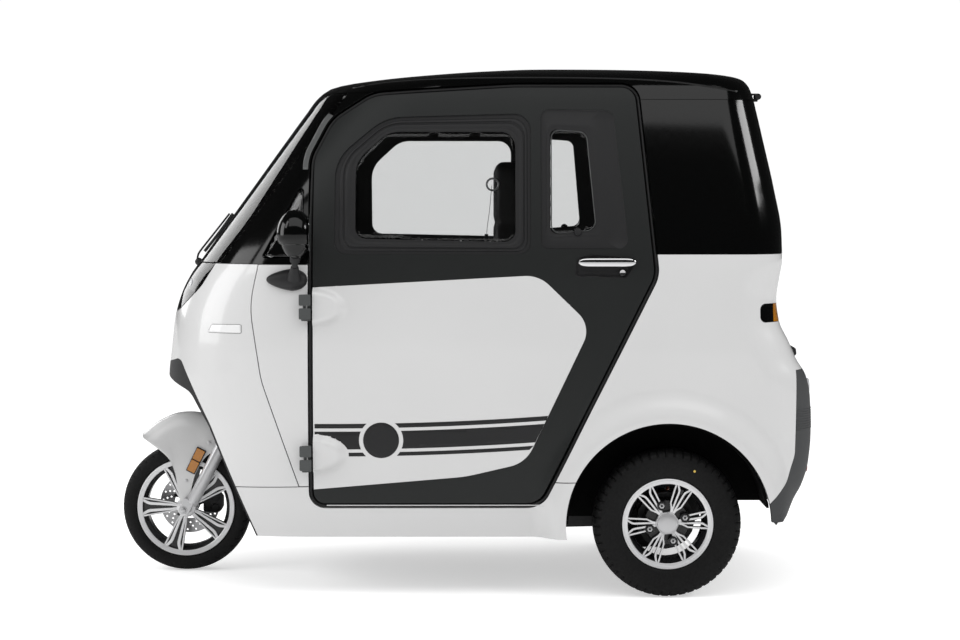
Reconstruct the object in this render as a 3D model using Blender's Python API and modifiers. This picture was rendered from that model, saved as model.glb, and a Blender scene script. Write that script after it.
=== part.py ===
"""Enclosed mobility scooter: a three-wheeled cabin scooter for one driver.

Metres, +Z up. The front of the vehicle points along -X, its left side along -Y.
The origin lies on the ground, under the middle of the vehicle.
"""
import math

import bmesh
import bpy
from mathutils import Matrix, Vector

# Wheels and where they stand
WHEELBASE = 1.548
FRONT_AXLE_X = -0.905
REAR_AXLE_X = FRONT_AXLE_X + WHEELBASE
FRONT_TYRE_RADIUS = 0.2115
FRONT_TYRE_WIDTH = 0.100
FRONT_RIM_RADIUS = 0.160
REAR_TYRE_RADIUS = 0.229
REAR_TYRE_WIDTH = 0.145
REAR_RIM_RADIUS = 0.140
REAR_WHEEL_Y = 0.457

# Skin of the cabin
WALL = 0.030
SEAM = 0.0006
TOUCH = 0.0003
DOOR_GAP = 0.016
HATCH_GAP = 0.007
BELT_FRONT_Z = 1.028
BELT_REAR_Z = 1.059
SCREEN_TOP_Z = 1.557
ROOF_SEAM_REAR_Z = 1.533
SILL_FRONT_Z = 0.339
SILL_REAR_Z = 0.368
SILL_BOTTOM_Z = 0.187
ARCH_RADIUS = 0.315
ARCH_LIP = 0.026
ARCH_FLARE = 0.019
GLASS_DEPTH = 0.008
GLASS_THICKNESS = 0.006

# Steering
RAKE = math.radians(27.5)
STEER_OFFSET = 0.0395
LEG_Y = 0.097
LEG_RADIUS = 0.020
STEM_RADIUS = 0.0140
HEAD_LOW_Z = 0.625
HEAD_HIGH_Z = 0.745

# Door hinges
HINGE_X = -0.468
HINGE_Y = 0.558
HINGE_HEIGHT = 0.080
HINGE_LOW_Z = 0.435
HINGE_HIGH_Z = 0.897
HINGE_PIN_RADIUS = 0.0050
HINGE_PLAY = 0.0006
DOOR_FRONT_X = -0.444

# Cabin floor and underbody
FLOOR_Z = 0.236
FLOOR_THICKNESS = 0.014
RAIL_Y = 0.225
RAIL_SIZE = 0.040
BULKHEAD_X = -0.578

# Front wheel, brake and mudguard
AXLE_TRAIL = 0.0555
FRONT_PIN_RADIUS = 0.0075
STEM_TOP_Z = 0.985
DISC_Y = 0.0590
DISC_RADIUS = 0.100
HUB_END_Y = 0.060
FENDER_HALF_WIDTH = LEG_Y - LEG_RADIUS - TOUCH
FENDER_HOLLOW = 0.0655

# Door posts and handles
KNUCKLE_RADIUS = 0.0100
HANDLE_DEPTH = 0.022
POST_FRONT_X = -0.500
POST_INNER_Y = 0.466
POST_LOW_Z = 0.350
POST_HIGH_Z = 1.015

# Rear hatch and number plate recess
HATCH_FRAME = 0.045
HATCH_AXIS_X = 0.950
HATCH_AXIS_Z = 1.552
HATCH_HINGE_Y = 0.200
HATCH_EYE = 0.010
HATCH_KNUCKLE = 0.024
PLATE_X = 1.100
PLATE_HALF_WIDTH = 0.150

# Luggage tray and seat
TUB_FRONT_X = 0.3253
TUB_REAR_X = 0.985
TUB_HALF_WIDTH = 0.345
TUB_FLOOR_Z = 0.460
TUB_SHELF_Z = 0.624
TUB_WALL = 0.012
SEAT_Z = 0.500
SEAT_FRONT_X = -0.260
SEAT_BACK_X = 0.110
SEAT_HALF_WIDTH = 0.235
SEAT_BOX_HALF_WIDTH = 0.205
SEAT_BOX_REAR_X = 0.205

# Rear axle, frame and springs
KICK_X = 0.387
DRUM_OUTER_Y = 0.440
DRUM_RADIUS = 0.090
STUB_RADIUS = 0.0150
STUB_END_Y = 0.4950
ARM_INNER_Y = 0.2456
SHOCK_SEAT = 0.033
SHOCK_LOW_Z = REAR_TYRE_RADIUS + SHOCK_SEAT
SPRING_RADIUS = 0.026
SPRING_WIRE = 0.0045
SPRING_TURNS = 3
LINER_INNER_Y = 0.352
LINER_BORE = 0.150
FRAME_FRONT_X = -0.600
FRAME_REAR_X = 1.040
BEAM_FRONT_X = 1.020
BEAM_HALF_WIDTH = 0.300
BODY_TUBE_X = (-0.6035, -0.200, 0.220)
AXLE_TUBE_X = 0.700

# Height, foremost x, rearmost x, half width, length of the rounded front, rear corner radius
BODY_LEVELS = (
    (0.187, -0.900, 0.960, 0.503, 0.470, 0.100),
    (0.280, -0.930, 1.052, 0.521, 0.490, 0.125),
    (0.340, -0.940, 1.090, 0.529, 0.500, 0.140),
    (0.410, -0.948, 1.110, 0.535, 0.505, 0.150),
    (0.500, -0.950, 1.117, 0.541, 0.510, 0.155),
    (0.610, -0.949, 1.113, 0.545, 0.510, 0.155),
    (0.680, -0.946, 1.098, 0.546, 0.508, 0.150),
    (0.730, -0.940, 1.068, 0.546, 0.505, 0.150),
    (0.785, -0.934, 1.044, 0.545, 0.500, 0.150),
    (0.850, -0.926, 1.014, 0.543, 0.500, 0.150),
    (0.920, -0.906, 1.006, 0.540, 0.490, 0.150),
    (0.985, -0.874, 1.015, 0.537, 0.470, 0.150),
    (1.040, -0.834, 1.024, 0.532, 0.440, 0.150),
    (1.125, -0.772, 1.022, 0.519, 0.400, 0.145),
    (1.260, -0.674, 1.000, 0.496, 0.380, 0.140),
    (1.400, -0.573, 0.970, 0.471, 0.370, 0.135),
    (1.500, -0.500, 0.948, 0.451, 0.370, 0.130),
    (1.550, -0.462, 0.936, 0.438, 0.370, 0.125),
    (1.580, -0.420, 0.924, 0.424, 0.370, 0.120),
    (1.602, -0.300, 0.902, 0.402, 0.360, 0.115),
    (1.618, -0.150, 0.830, 0.368, 0.350, 0.110),
    (1.630, 0.000, 0.660, 0.310, 0.300, 0.100),
    (1.638, 0.150, 0.460, 0.200, 0.150, 0.080),
)
BODY_HALF_WIDTH = max(level[3] for level in BODY_LEVELS)
ARCH_HALF_WIDTH = BODY_HALF_WIDTH + ARCH_FLARE
ARCH_ROOT_Y = BODY_HALF_WIDTH - 0.061
FRONT_POWER = 2.6
FRONT_STEPS = 6
SIDE_STEPS = 1
CORNER_STEPS = 3
REAR_BOW = 0.017
REAR_TAPER = 0.010
ROOF_FROM_Z = 1.45
ROOF_FULL_Z = 1.57

# Right half of the seat back, from behind: y, z, corner radius
SEAT_BACK_FOOT = 0.195
SEAT_BACK_OUTLINE = (
    (0.235, 0.800, 0.150),
    (0.215, 1.080, 0.090),
    (0.130, 1.160, 0.060),
    (0.115, 1.368, 0.045),
)

# Outlines in side view: x, z, corner radius
DOOR_OUTLINE = (
    (DOOR_FRONT_X, 0.294, 0.035),
    (0.245, 0.294, 0.060),
    (0.598, 0.995, 0.090),
    (0.540, 1.570, 0.045),
    (0.170, 1.570, 0.500),
    (-0.262, 1.544, 0.120),
    (-0.385, 1.468, 0.120),
    (DOOR_FRONT_X, 1.352, 0.100),
)
DOOR_PANEL_OUTLINE = (
    (-0.500, 0.333, 0.0),
    (0.020, 0.377, 0.400),
    (0.205, 0.420, 0.100),
    (0.405, 0.840, 0.075),
    (0.245, 0.995, 0.100),
    (-0.500, 0.955, 0.0),
)
MAIN_WINDOW_OUTLINE = (
    (-0.318, 1.105, 0.035),
    (0.176, 1.095, 0.035),
    (0.176, 1.436, 0.045),
    (-0.215, 1.436, 0.090),
    (-0.318, 1.345, 0.090),
)
VENT_WINDOW_OUTLINE = (
    (0.280, 1.118, 0.020),
    (0.425, 1.130, 0.025),
    (0.396, 1.437, 0.025),
    (0.280, 1.445, 0.020),
)
HANDLE_OUTLINE = (
    (0.352, 0.990, 0.012),
    (0.515, 0.984, 0.022),
    (0.547, 1.045, 0.012),
    (0.405, 1.058, 0.015),
    (0.360, 1.046, 0.020),
)
COWL_SEAM = (
    (-0.614, BELT_FRONT_Z, 0.0),
    (-0.640, 0.900, 0.300),
    (-0.604, 0.673, 0.300),
    (-0.490, 0.345, 0.0),
)
QUARTER_GLASS_OUTLINE = (
    (-0.606, 1.046, 0.008),
    (-0.474, 1.046, 0.010),
    (-0.474, 1.298, 0.012),
)
SCREEN_EDGE = (
    (-0.742, BELT_FRONT_Z, 0.0),
    (-0.346, SCREEN_TOP_Z, 0.0),
)
HEADLAMP_EDGE = (
    (-1.000, 0.860, 0.0),
    (-0.895, 0.872, 0.060),
    (-0.806, 0.955, 0.150),
    (-0.758, BELT_FRONT_Z, 0.0),
)
NOSE_LOWER_EDGE = (
    (-0.944, 0.700, 0.030),
    (-0.812, 0.515, 0.200),
    (-0.626, 0.187, 0.0),
)
BUMPER_EDGE = (
    (0.900, 0.180, 0.0),
    (0.924, 0.268, 0.0),
    (1.010, 0.361, 0.080),
    (1.036, 0.440, 0.100),
    (1.040, 0.700, 0.0),
)
TAIL_HALF_WIDTH = 0.360
TAIL_LOW_Z = 0.7006
HATCH_LOW_Z = 1.084
HATCH_HIGH_Z = 1.548
HATCH_LOW_HALF_WIDTH = 0.400
HATCH_HIGH_HALF_WIDTH = 0.330
LAMP_LOW_Z = 0.850
LAMP_HIGH_Z = 0.905
LAMP_FRONT_X = 0.925

ARC_STEP = math.radians(30)
ARCH_STEPS = 30
WHEEL_STEPS = 28
ROUND = 16
FAR = 1.6
FLAT_ANGLE = math.radians(0.3)

# Colour, metallic, roughness
FINISHES = {
    "white_paint": ((0.80, 0.80, 0.79), 0.0, 0.25),
    "black_paint": ((0.006, 0.007, 0.007), 0.0, 0.12),
    "door_frame_paint": ((0.024, 0.026, 0.027), 0.0, 0.45),
    "bumper_plastic": ((0.038, 0.040, 0.042), 0.0, 0.60),
    "trim_plastic": ((0.012, 0.012, 0.013), 0.0, 0.50),
    "window_glass": ((0.60, 0.62, 0.62), 0.0, 0.05),
    "smoked_glass": ((0.010, 0.010, 0.012), 0.0, 0.05),
    "lamp_glass": ((0.30, 0.02, 0.02), 0.0, 0.10),
    "frame_steel": ((0.020, 0.020, 0.022), 0.6, 0.50),
    "bare_metal": ((0.60, 0.60, 0.60), 1.0, 0.30),
    "alloy": ((0.45, 0.46, 0.47), 1.0, 0.28),
    "tyre_rubber": ((0.014, 0.014, 0.015), 0.0, 0.75),
    "seat_cover": ((0.015, 0.015, 0.016), 0.0, 0.60),
    "cabin_plastic": ((0.030, 0.030, 0.032), 0.0, 0.60),
    "spring_paint": ((0.70, 0.16, 0.02), 0.1, 0.40),
    "chrome": ((0.80, 0.80, 0.80), 1.0, 0.10),
}


def clear_scene():
    """Remove what the file holds, so that the script starts from nothing."""
    for thing in list(bpy.data.objects):
        bpy.data.objects.remove(thing, do_unlink=True)


def new_collection(name):
    """A collection of the scene for one kind of object."""
    collection = bpy.data.collections.new(name)
    bpy.context.scene.collection.children.link(collection)
    return collection


def finish(name):
    """The Principled material of one finish, made once."""
    material = bpy.data.materials.get(name)
    if material is None:
        colour, metallic, roughness = FINISHES[name]
        material = bpy.data.materials.new(name)
        material.use_nodes = True
        shader = material.node_tree.nodes["Principled BSDF"]
        shader.inputs["Base Color"].default_value = (*colour, 1.0)
        shader.inputs["Metallic"].default_value = metallic
        shader.inputs["Roughness"].default_value = roughness
        material.diffuse_color = (*colour, 1.0)
    return material


# Basic shapes

def from_bmesh(name, shape):
    """A scratch object from a bmesh, with every face turned outwards."""
    bmesh.ops.recalc_face_normals(shape, faces=shape.faces)
    mesh = bpy.data.meshes.new(name)
    shape.to_mesh(mesh)
    shape.free()
    thing = bpy.data.objects.new(name, mesh)
    CUTTERS.objects.link(thing)
    return thing


def box(low, high):
    """A box between two corners."""
    shape = bmesh.new()
    size = [b - a for a, b in zip(low, high)]
    middle = [(a + b) / 2 for a, b in zip(low, high)]
    matrix = Matrix.Translation(middle) @ Matrix.Diagonal((*size, 1.0))
    bmesh.ops.create_cube(shape, size=1.0, matrix=matrix)
    return from_bmesh("box", shape)


def rod(start, end, radius, end_radius=None, sides=ROUND):
    """A round bar or cone between two points."""
    start = Vector(start)
    along = Vector(end) - start
    turn = along.to_track_quat("Z", "Y").to_matrix().to_4x4()
    shape = bmesh.new()
    bmesh.ops.create_cone(
        shape,
        cap_ends=True,
        segments=sides,
        radius1=radius,
        radius2=radius if end_radius is None else end_radius,
        depth=along.length,
        matrix=Matrix.Translation(start + along / 2) @ turn,
    )
    return from_bmesh("rod", shape)


def ball(centre, radii, rings=10, sides=16):
    """An ellipsoid with its three half axes along x, y and z."""
    shape = bmesh.new()
    matrix = Matrix.Translation(centre) @ Matrix.Diagonal((*radii, 1.0))
    bmesh.ops.create_uvsphere(shape, u_segments=sides, v_segments=rings, radius=1.0, matrix=matrix)
    return from_bmesh("ball", shape)


def rounded(corners, closed=True):
    """Points of an outline whose corners (u, v, radius) become arcs."""
    points = []
    count = len(corners)
    for index, (u, v, radius) in enumerate(corners):
        here = Vector((u, v))
        at_end = not closed and index in (0, count - 1)
        if radius <= 0 or at_end:
            points.append((u, v))
            continue
        before = (Vector(corners[index - 1][:2]) - here).normalized()
        after = (Vector(corners[(index + 1) % count][:2]) - here).normalized()
        half = before.angle(after) / 2
        reach = radius / math.tan(half)
        centre = here + (before + after).normalized() * (radius / math.sin(half))
        first = here + before * reach - centre
        sweep = math.pi - 2 * half
        if before.x * after.y - before.y * after.x > 0:
            sweep = -sweep
        steps = max(1, math.ceil(abs(sweep) / ARC_STEP))
        for step in range(steps + 1):
            angle = sweep * step / steps
            turned = Vector((
                first.x * math.cos(angle) - first.y * math.sin(angle),
                first.x * math.sin(angle) + first.y * math.cos(angle),
            ))
            points.append(tuple(centre + turned))
    return points


def grown(corners, distance):
    """A closed outline's corners, run anticlockwise, moved outwards by one distance."""
    result = []
    count = len(corners)
    for index, (u, v, radius) in enumerate(corners):
        here = Vector((u, v))
        before = (here - Vector(corners[index - 1][:2])).normalized()
        after = (Vector(corners[(index + 1) % count][:2]) - here).normalized()
        out_before = Vector((before.y, -before.x))
        out_after = Vector((after.y, -after.x))
        bisector = (out_before + out_after).normalized()
        shift = bisector * (distance / bisector.dot(out_before))
        turning = before.x * after.y - before.y * after.x
        new_radius = radius
        if radius > 0:
            new_radius = max(0.0005, radius + math.copysign(distance, turning))
        result.append((u + shift.x, v + shift.y, new_radius))
    return tuple(result)


# Which world axes an outline's two axes and its thickness follow
PLANES = {
    "xz": Matrix(((1, 0, 0, 0), (0, 0, -1, 0), (0, 1, 0, 0), (0, 0, 0, 1))),
    "xy": Matrix.Identity(4),
    "yz": Matrix(((0, 0, 1, 0), (1, 0, 0, 0), (0, 1, 0, 0), (0, 0, 0, 1))),
}


def plate(points, plane, low, high):
    """A flat outline with a thickness from low to high across its plane."""
    curve = bpy.data.curves.new("outline", "CURVE")
    curve.dimensions = "2D"
    curve.fill_mode = "BOTH"
    curve.extrude = (high - low) / 2
    spline = curve.splines.new("POLY")
    spline.points.add(len(points) - 1)
    for point, (u, v) in zip(spline.points, points):
        point.co = (u, v, 0.0, 1.0)
    spline.use_cyclic_u = True
    return curve_to_mesh(curve, plane_place(plane, (low + high) / 2))


def plane_place(plane, offset):
    """The matrix that stands a flat outline in its plane, at an offset across it."""
    across = {"xz": (0, offset, 0), "xy": (0, 0, offset), "yz": (offset, 0, 0)}[plane]
    return Matrix.Translation(across) @ PLANES[plane]


def curve_to_mesh(curve, matrix=Matrix.Identity(4)):
    """A curve as a closed mesh, its caps welded on."""
    source = bpy.data.objects.new("curve", curve)
    CUTTERS.objects.link(source)
    evaluated = source.evaluated_get(bpy.context.evaluated_depsgraph_get())
    mesh = bpy.data.meshes.new_from_object(evaluated)
    mesh.transform(matrix)
    shape = bmesh.new()
    shape.from_mesh(mesh)
    bmesh.ops.remove_doubles(shape, verts=shape.verts, dist=0.00005)
    bpy.data.objects.remove(source, do_unlink=True)
    bpy.data.curves.remove(curve)
    bpy.data.meshes.remove(mesh)
    return from_bmesh("outline", shape)


def tube(points, radius, bevel_resolution=2):
    """A round tube along straight stretches between points."""
    curve = bpy.data.curves.new("tube", "CURVE")
    curve.dimensions = "3D"
    curve.bevel_depth = radius
    curve.bevel_resolution = bevel_resolution
    curve.use_fill_caps = True
    spline = curve.splines.new("POLY")
    spline.points.add(len(points) - 1)
    for point, place in zip(spline.points, points):
        point.co = (*place, 1.0)
    return curve_to_mesh(curve)


def turned(profile, centre, steps=ROUND):
    """A ring turned about the y axis through centre; profile points are (radius, y)."""
    mesh = bpy.data.meshes.new("profile")
    vertices = [(radius, offset, 0.0) for radius, offset in profile]
    count = len(vertices)
    edges = [(index, (index + 1) % count) for index in range(count)]
    mesh.from_pydata(vertices, edges, [])
    source = bpy.data.objects.new("profile", mesh)
    CUTTERS.objects.link(source)
    screw = source.modifiers.new("Turn", "SCREW")
    screw.axis = "Y"
    screw.steps = steps
    screw.render_steps = steps
    screw.use_merge_vertices = True
    screw.merge_threshold = 0.00005
    evaluated = source.evaluated_get(bpy.context.evaluated_depsgraph_get())
    result = bpy.data.meshes.new_from_object(evaluated)
    result.transform(Matrix.Translation(centre))
    shape = bmesh.new()
    shape.from_mesh(result)
    bmesh.ops.remove_doubles(shape, verts=shape.verts, dist=0.00002)
    bpy.data.objects.remove(source, do_unlink=True)
    bpy.data.meshes.remove(result)
    return from_bmesh("turned", shape)


# Joining, cutting and finishing

def combine(target, operation, *tools):
    """Apply one Boolean operation with each tool in turn, and drop the tools."""
    for tool in tools:
        modifier = target.modifiers.new("Cut", "BOOLEAN")
        modifier.operation = operation
        modifier.solver = "EXACT"
        modifier.object = tool
    evaluated = target.evaluated_get(bpy.context.evaluated_depsgraph_get())
    mesh = bpy.data.meshes.new_from_object(evaluated)
    old = target.data
    target.modifiers.clear()
    target.data = mesh
    if old.users == 0:
        bpy.data.meshes.remove(old)
    for tool in tools:
        if not tool.name.startswith("kept"):
            bpy.data.objects.remove(tool, do_unlink=True)
    return target


def cut(target, *tools):
    """Take the tools' shapes out of the target."""
    return combine(target, "DIFFERENCE", *tools)


def join(target, *tools):
    """Weld the tools' shapes to the target."""
    return combine(target, "UNION", *tools)


def keep(target, *tools):
    """Keep what of the target lies inside every tool."""
    return combine(target, "INTERSECT", *tools)


def copy_of(thing):
    """A scratch copy with a mesh of its own."""
    double = bpy.data.objects.new("copy", thing.data.copy())
    CUTTERS.objects.link(double)
    return double


def mirrored(thing):
    """A scratch copy on the other side of the vehicle."""
    double = copy_of(thing)
    double.data.transform(Matrix.Translation(thing.location))
    double.data.transform(Matrix.Diagonal((1.0, -1.0, 1.0, 1.0)))
    double.data.flip_normals()
    return double


def tidy_mesh(thing):
    """Remove the slivers that a Boolean leaves."""
    shape = bmesh.new()
    shape.from_mesh(thing.data)
    bmesh.ops.remove_doubles(shape, verts=shape.verts, dist=0.00001)
    bmesh.ops.dissolve_degenerate(shape, edges=shape.edges, dist=0.00001)
    bmesh.ops.dissolve_limit(
        shape, angle_limit=FLAT_ANGLE, use_dissolve_boundaries=False, verts=shape.verts, edges=shape.edges
    )
    bmesh.ops.holes_fill(shape, edges=shape.edges, sides=4)
    bmesh.ops.triangulate(shape, faces=shape.faces)
    bmesh.ops.recalc_face_normals(shape, faces=shape.faces)
    shape.to_mesh(thing.data)
    shape.free()


def publish(thing, name, material_name, origin=(0.0, 0.0, 0.0)):
    """Name a finished sub-part, give it its material and put its origin in place."""
    tidy_mesh(thing)
    thing.name = name
    thing.data.name = name
    thing.data.materials.clear()
    thing.data.materials.append(finish(material_name))
    thing.data.shade_smooth()
    thing.data.set_sharp_from_angle(angle=math.radians(32))
    thing.data.transform(Matrix.Translation(-Vector(origin)))
    thing.location = origin
    CUTTERS.objects.unlink(thing)
    PARTS.objects.link(thing)
    return thing


def publish_pair(left, name, material_name, origin=(0.0, 0.0, 0.0)):
    """Publish a left piece and its mirror image on the right."""
    right = mirrored(left)
    publish(left, name + "_left", material_name, origin)
    publish(right, name + "_right", material_name, (origin[0], -origin[1], origin[2]))


# The outer form of the cabin

def waterline(level, inset):
    """One closed horizontal section of the cabin, drawn in by an inset."""
    height, front, rear, half_width, rounding, corner = level
    roof_share = min(1.0, max(0.0, (height - ROOF_FROM_Z) / (ROOF_FULL_Z - ROOF_FROM_Z)))
    height = height - inset * roof_share
    front = front + inset
    rear = rear - inset
    half_width = half_width - inset
    corner = max(0.02, corner - inset)
    taper_width = half_width - REAR_TAPER
    shoulder = front + rounding
    half = []
    for step in range(FRONT_STEPS + 1):
        angle = math.pi / 2 * step / FRONT_STEPS
        power = 2 / FRONT_POWER
        x = shoulder - rounding * max(0.0, math.cos(angle)) ** power
        half.append((x, half_width * math.sin(angle) ** power))
    corner_x = rear - REAR_BOW - corner
    for step in range(1, SIDE_STEPS + 1):
        share = step / (SIDE_STEPS + 1)
        half.append((shoulder + (corner_x - shoulder) * share, half_width - REAR_TAPER * share ** 2))
    for step in range(CORNER_STEPS + 1):
        angle = math.pi / 2 * step / CORNER_STEPS
        half.append((corner_x + corner * math.sin(angle), taper_width - corner + corner * math.cos(angle)))
    half.append((rear, 0.0))
    other = [(x, -y) for x, y in reversed(half[1:-1])]
    return [(x, y, height) for x, y in half + other]


def form_rings(inset, low_z=None):
    """All sections of the cabin from the bottom up."""
    rings = [waterline(level, inset) for level in BODY_LEVELS]
    if low_z is not None:
        rings[0] = [(x, y, low_z) for x, y, _ in rings[0]]
    return rings


def lofted(rings, closed_loop):
    """A mesh through like rings, capped at its ends or closed into a shell."""
    shape = bmesh.new()
    rows = [[shape.verts.new(point) for point in ring] for ring in rings]
    count = len(rows[0])
    pairs = list(zip(rows, rows[1:]))
    for lower, upper in pairs:
        for index in range(count):
            after = (index + 1) % count
            shape.faces.new((lower[index], lower[after], upper[after], upper[index]))
    if closed_loop:
        for index in range(count):
            after = (index + 1) % count
            shape.faces.new((rows[-1][index], rows[-1][after], rows[0][after], rows[0][index]))
    else:
        shape.faces.new(rows[0])
        shape.faces.new(rows[-1])
    bmesh.ops.triangulate(shape, faces=shape.faces)
    return from_bmesh("form", shape)


def body_solid(inset, low_z=None):
    """The cabin's form as one full solid."""
    return lofted(form_rings(inset, low_z), closed_loop=False)


def body_shell(outer_inset, inner_inset):
    """The cabin's form as a wall between two insets, open at the bottom."""
    shell = body_solid(outer_inset)
    return cut(shell, body_solid(inner_inset, low_z=BODY_LEVELS[0][0] - 0.05))


def side_prism(corners, left_only=True):
    """A cutter with a side-view outline, through the left wall or through both."""
    high = -0.02 if left_only else FAR
    return plate(rounded(corners), "xz", -FAR, high)


def skin_region(shell, corners, left_only=True):
    """The part of a shell that shows inside a side-view outline."""
    return keep(copy_of(shell), side_prism(corners, left_only))


def open_outline(edge, *corners):
    """An outline whose one edge is a curved seam and the rest far corners."""
    return [(u, v, 0.0) for u, v in rounded(edge, closed=False)] + [(u, v, 0.0) for u, v in corners]


def shifted(edge, dx, dz=0.0):
    """A seam moved along x and z."""
    return tuple((u + dx, v + dz, radius) for u, v, radius in edge)


def polar(radius, angle):
    """A point in a wheel's plane."""
    return (radius * math.cos(angle), radius * math.sin(angle))


def circle(radius, sides, centre=(0.0, 0.0)):
    """The corners of a round outline."""
    return [
        (centre[0] + radius * math.cos(2 * math.pi * k / sides),
         centre[1] + radius * math.sin(2 * math.pi * k / sides))
        for k in range(sides)
    ]


def wheel_window(middle, inner_radius, outer_radius, inner_half, outer_half):
    """An opening of a wheel's face, between two spokes; its outer edge follows the rim."""
    return [
        polar(inner_radius, middle - inner_half),
        polar(outer_radius, middle - outer_half),
        polar(outer_radius * 1.03, middle),
        polar(outer_radius, middle + outer_half),
        polar(inner_radius, middle + inner_half),
    ]


def plate_with_holes(outlines, plane, low, high):
    """A flat plate whose first outline is its rim and whose others are holes."""
    curve = bpy.data.curves.new("outline", "CURVE")
    curve.dimensions = "2D"
    curve.fill_mode = "BOTH"
    curve.extrude = (high - low) / 2
    for points in outlines:
        spline = curve.splines.new("POLY")
        spline.points.add(len(points) - 1)
        for point, (u, v) in zip(spline.points, points):
            point.co = (u, v, 0.0, 1.0)
        spline.use_cyclic_u = True
    return curve_to_mesh(curve, plane_place(plane, (low + high) / 2))


# Cutters that several panels share

def sill_line(x):
    """Height of the seam between the sill and the panels over it."""
    share = (x - NOSE_LOWER_EDGE[1][0]) / (REAR_AXLE_X - NOSE_LOWER_EDGE[1][0])
    return SILL_FRONT_Z + (SILL_REAR_Z - SILL_FRONT_Z) * share


def arch_cutter():
    """The round opening over the left rear wheel."""
    return plate(circle(ARCH_RADIUS, ARCH_STEPS, (REAR_AXLE_X, REAR_TYRE_RADIUS)), "xz", -0.70, -0.30)


def door_opening():
    """The opening that the left door closes, larger than the door by its gap."""
    return side_prism(grown(DOOR_OUTLINE, DOOR_GAP))


def below_nose():
    """All that lies in front of and below the nose's lower edge."""
    edge = ((-FAR, NOSE_LOWER_EDGE[0][1], 0.0),) + NOSE_LOWER_EDGE
    return plate(rounded(open_outline(edge, (NOSE_LOWER_EDGE[-1][0], 0.0), (-FAR, 0.0))), "xz", -FAR, FAR)


def headlamp_zone(margin):
    """The zone of the smoked lamp band, larger by a margin."""
    edge = shifted(HEADLAMP_EDGE, margin, -margin)
    top = BELT_FRONT_Z + margin - SEAM
    edge = edge[:-1] + ((edge[-1][0], top, 0.0),)
    return plate(rounded(open_outline(edge, (-FAR, top), (-FAR, edge[0][1]))), "xz", -FAR, FAR)


def bumper_zone(margin):
    """The zone of the rear bumper, larger by a margin."""
    edge = shifted(BUMPER_EDGE, -margin)
    top = BUMPER_EDGE[-1][1] + margin
    edge = edge[:-1] + ((edge[-1][0], top, 0.0),)
    return plate(rounded(open_outline(edge, (FAR, top), (FAR, edge[0][1]))), "xz", -FAR, FAR)


def tail_zone(margin):
    """The zone of the tail panel between the rear lamps, larger by a margin."""
    half = TAIL_HALF_WIDTH + margin
    return box((0.80, -half, TAIL_LOW_Z - margin), (FAR, half, HATCH_LOW_Z - HATCH_GAP - SEAM + margin))


def lamp_zone(margin):
    """The zone of the left rear lamp, larger by a margin."""
    return box(
        (LAMP_FRONT_X - margin, -FAR, LAMP_LOW_Z - margin),
        (FAR, -TAIL_HALF_WIDTH - SEAM + margin, LAMP_HIGH_Z + margin),
    )


def hatch_outline():
    """The rear hatch seen from behind."""
    return (
        (-HATCH_LOW_HALF_WIDTH, HATCH_LOW_Z, 0.040),
        (HATCH_LOW_HALF_WIDTH, HATCH_LOW_Z, 0.040),
        (HATCH_HIGH_HALF_WIDTH, HATCH_HIGH_Z, 0.040),
        (-HATCH_HIGH_HALF_WIDTH, HATCH_HIGH_Z, 0.040),
    )


def hatch_prism(margin):
    """The hatch's outline run forwards from behind, larger by a margin."""
    return plate(rounded(grown(hatch_outline(), margin)), "yz", 0.75, FAR)


def arch_flare():
    """The flared lip round the left rear wheel's opening."""
    profile = (
        (ARCH_RADIUS - 0.004, -ARCH_ROOT_Y),
        (ARCH_RADIUS - 0.004, -ARCH_HALF_WIDTH + 0.003),
        (ARCH_RADIUS + 0.006, -ARCH_HALF_WIDTH),
        (ARCH_RADIUS + ARCH_LIP, -ARCH_HALF_WIDTH + 0.007),
        (ARCH_RADIUS + ARCH_LIP + 0.030, -BODY_HALF_WIDTH + 0.0085),
        (ARCH_RADIUS + ARCH_LIP + 0.030, -ARCH_ROOT_Y),
    )
    return turned(profile, (REAR_AXLE_X, 0.0, REAR_TYRE_RADIUS), steps=ARCH_STEPS)


# White and black panels of the skin

def make_nose_cowl(skin):
    """White cowl over the front wheel, from one cowl seam round to the other."""
    seam = shifted(COWL_SEAM, -SEAM)
    low = sill_line(COWL_SEAM[-1][0]) + SEAM
    outline = open_outline(
        ((seam[0][0], BELT_FRONT_Z - SEAM, 0.0),) + seam[1:-1] + ((seam[-1][0], low, 0.0),),
        (-FAR, sill_line(-FAR) + SEAM),
        (-FAR, BELT_FRONT_Z - SEAM),
    )
    cowl = skin_region(skin, outline, left_only=False)
    cut(cowl, headlamp_zone(SEAM), below_nose())
    publish(cowl, "nose_cowl", "white_paint")


def make_headlamp_band(skin):
    """Smoked band under the windscreen, with the headlamps behind it."""
    band = keep(copy_of(skin), headlamp_zone(0.0))
    publish(band, "headlamp_band", "smoked_glass")


def make_side_cowls(skin):
    """White panels between the cowl seam and the door."""
    outline = open_outline(
        COWL_SEAM[:-1] + ((COWL_SEAM[-1][0], sill_line(COWL_SEAM[-1][0]) + SEAM, 0.0),),
        (-0.20, sill_line(-0.20) + SEAM),
        (-0.20, BELT_FRONT_Z - SEAM),
    )
    outline[0] = (outline[0][0], BELT_FRONT_Z - SEAM, 0.0)
    cowl = skin_region(skin, outline)
    cut(cowl, door_opening())
    publish_pair(cowl, "side_cowl", "white_paint")


def make_sills(skin):
    """White sills under the doors, from the nose to the rear wheel."""
    outline = (
        (-FAR, SILL_BOTTOM_Z, 0.0),
        (REAR_AXLE_X, SILL_BOTTOM_Z, 0.0),
        (REAR_AXLE_X, sill_line(REAR_AXLE_X) - SEAM, 0.0),
        (-FAR, sill_line(-FAR) - SEAM, 0.0),
    )
    sill = skin_region(skin, outline)
    cut(sill, below_nose(), door_opening(), arch_cutter())
    publish_pair(sill, "sill", "white_paint")


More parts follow.
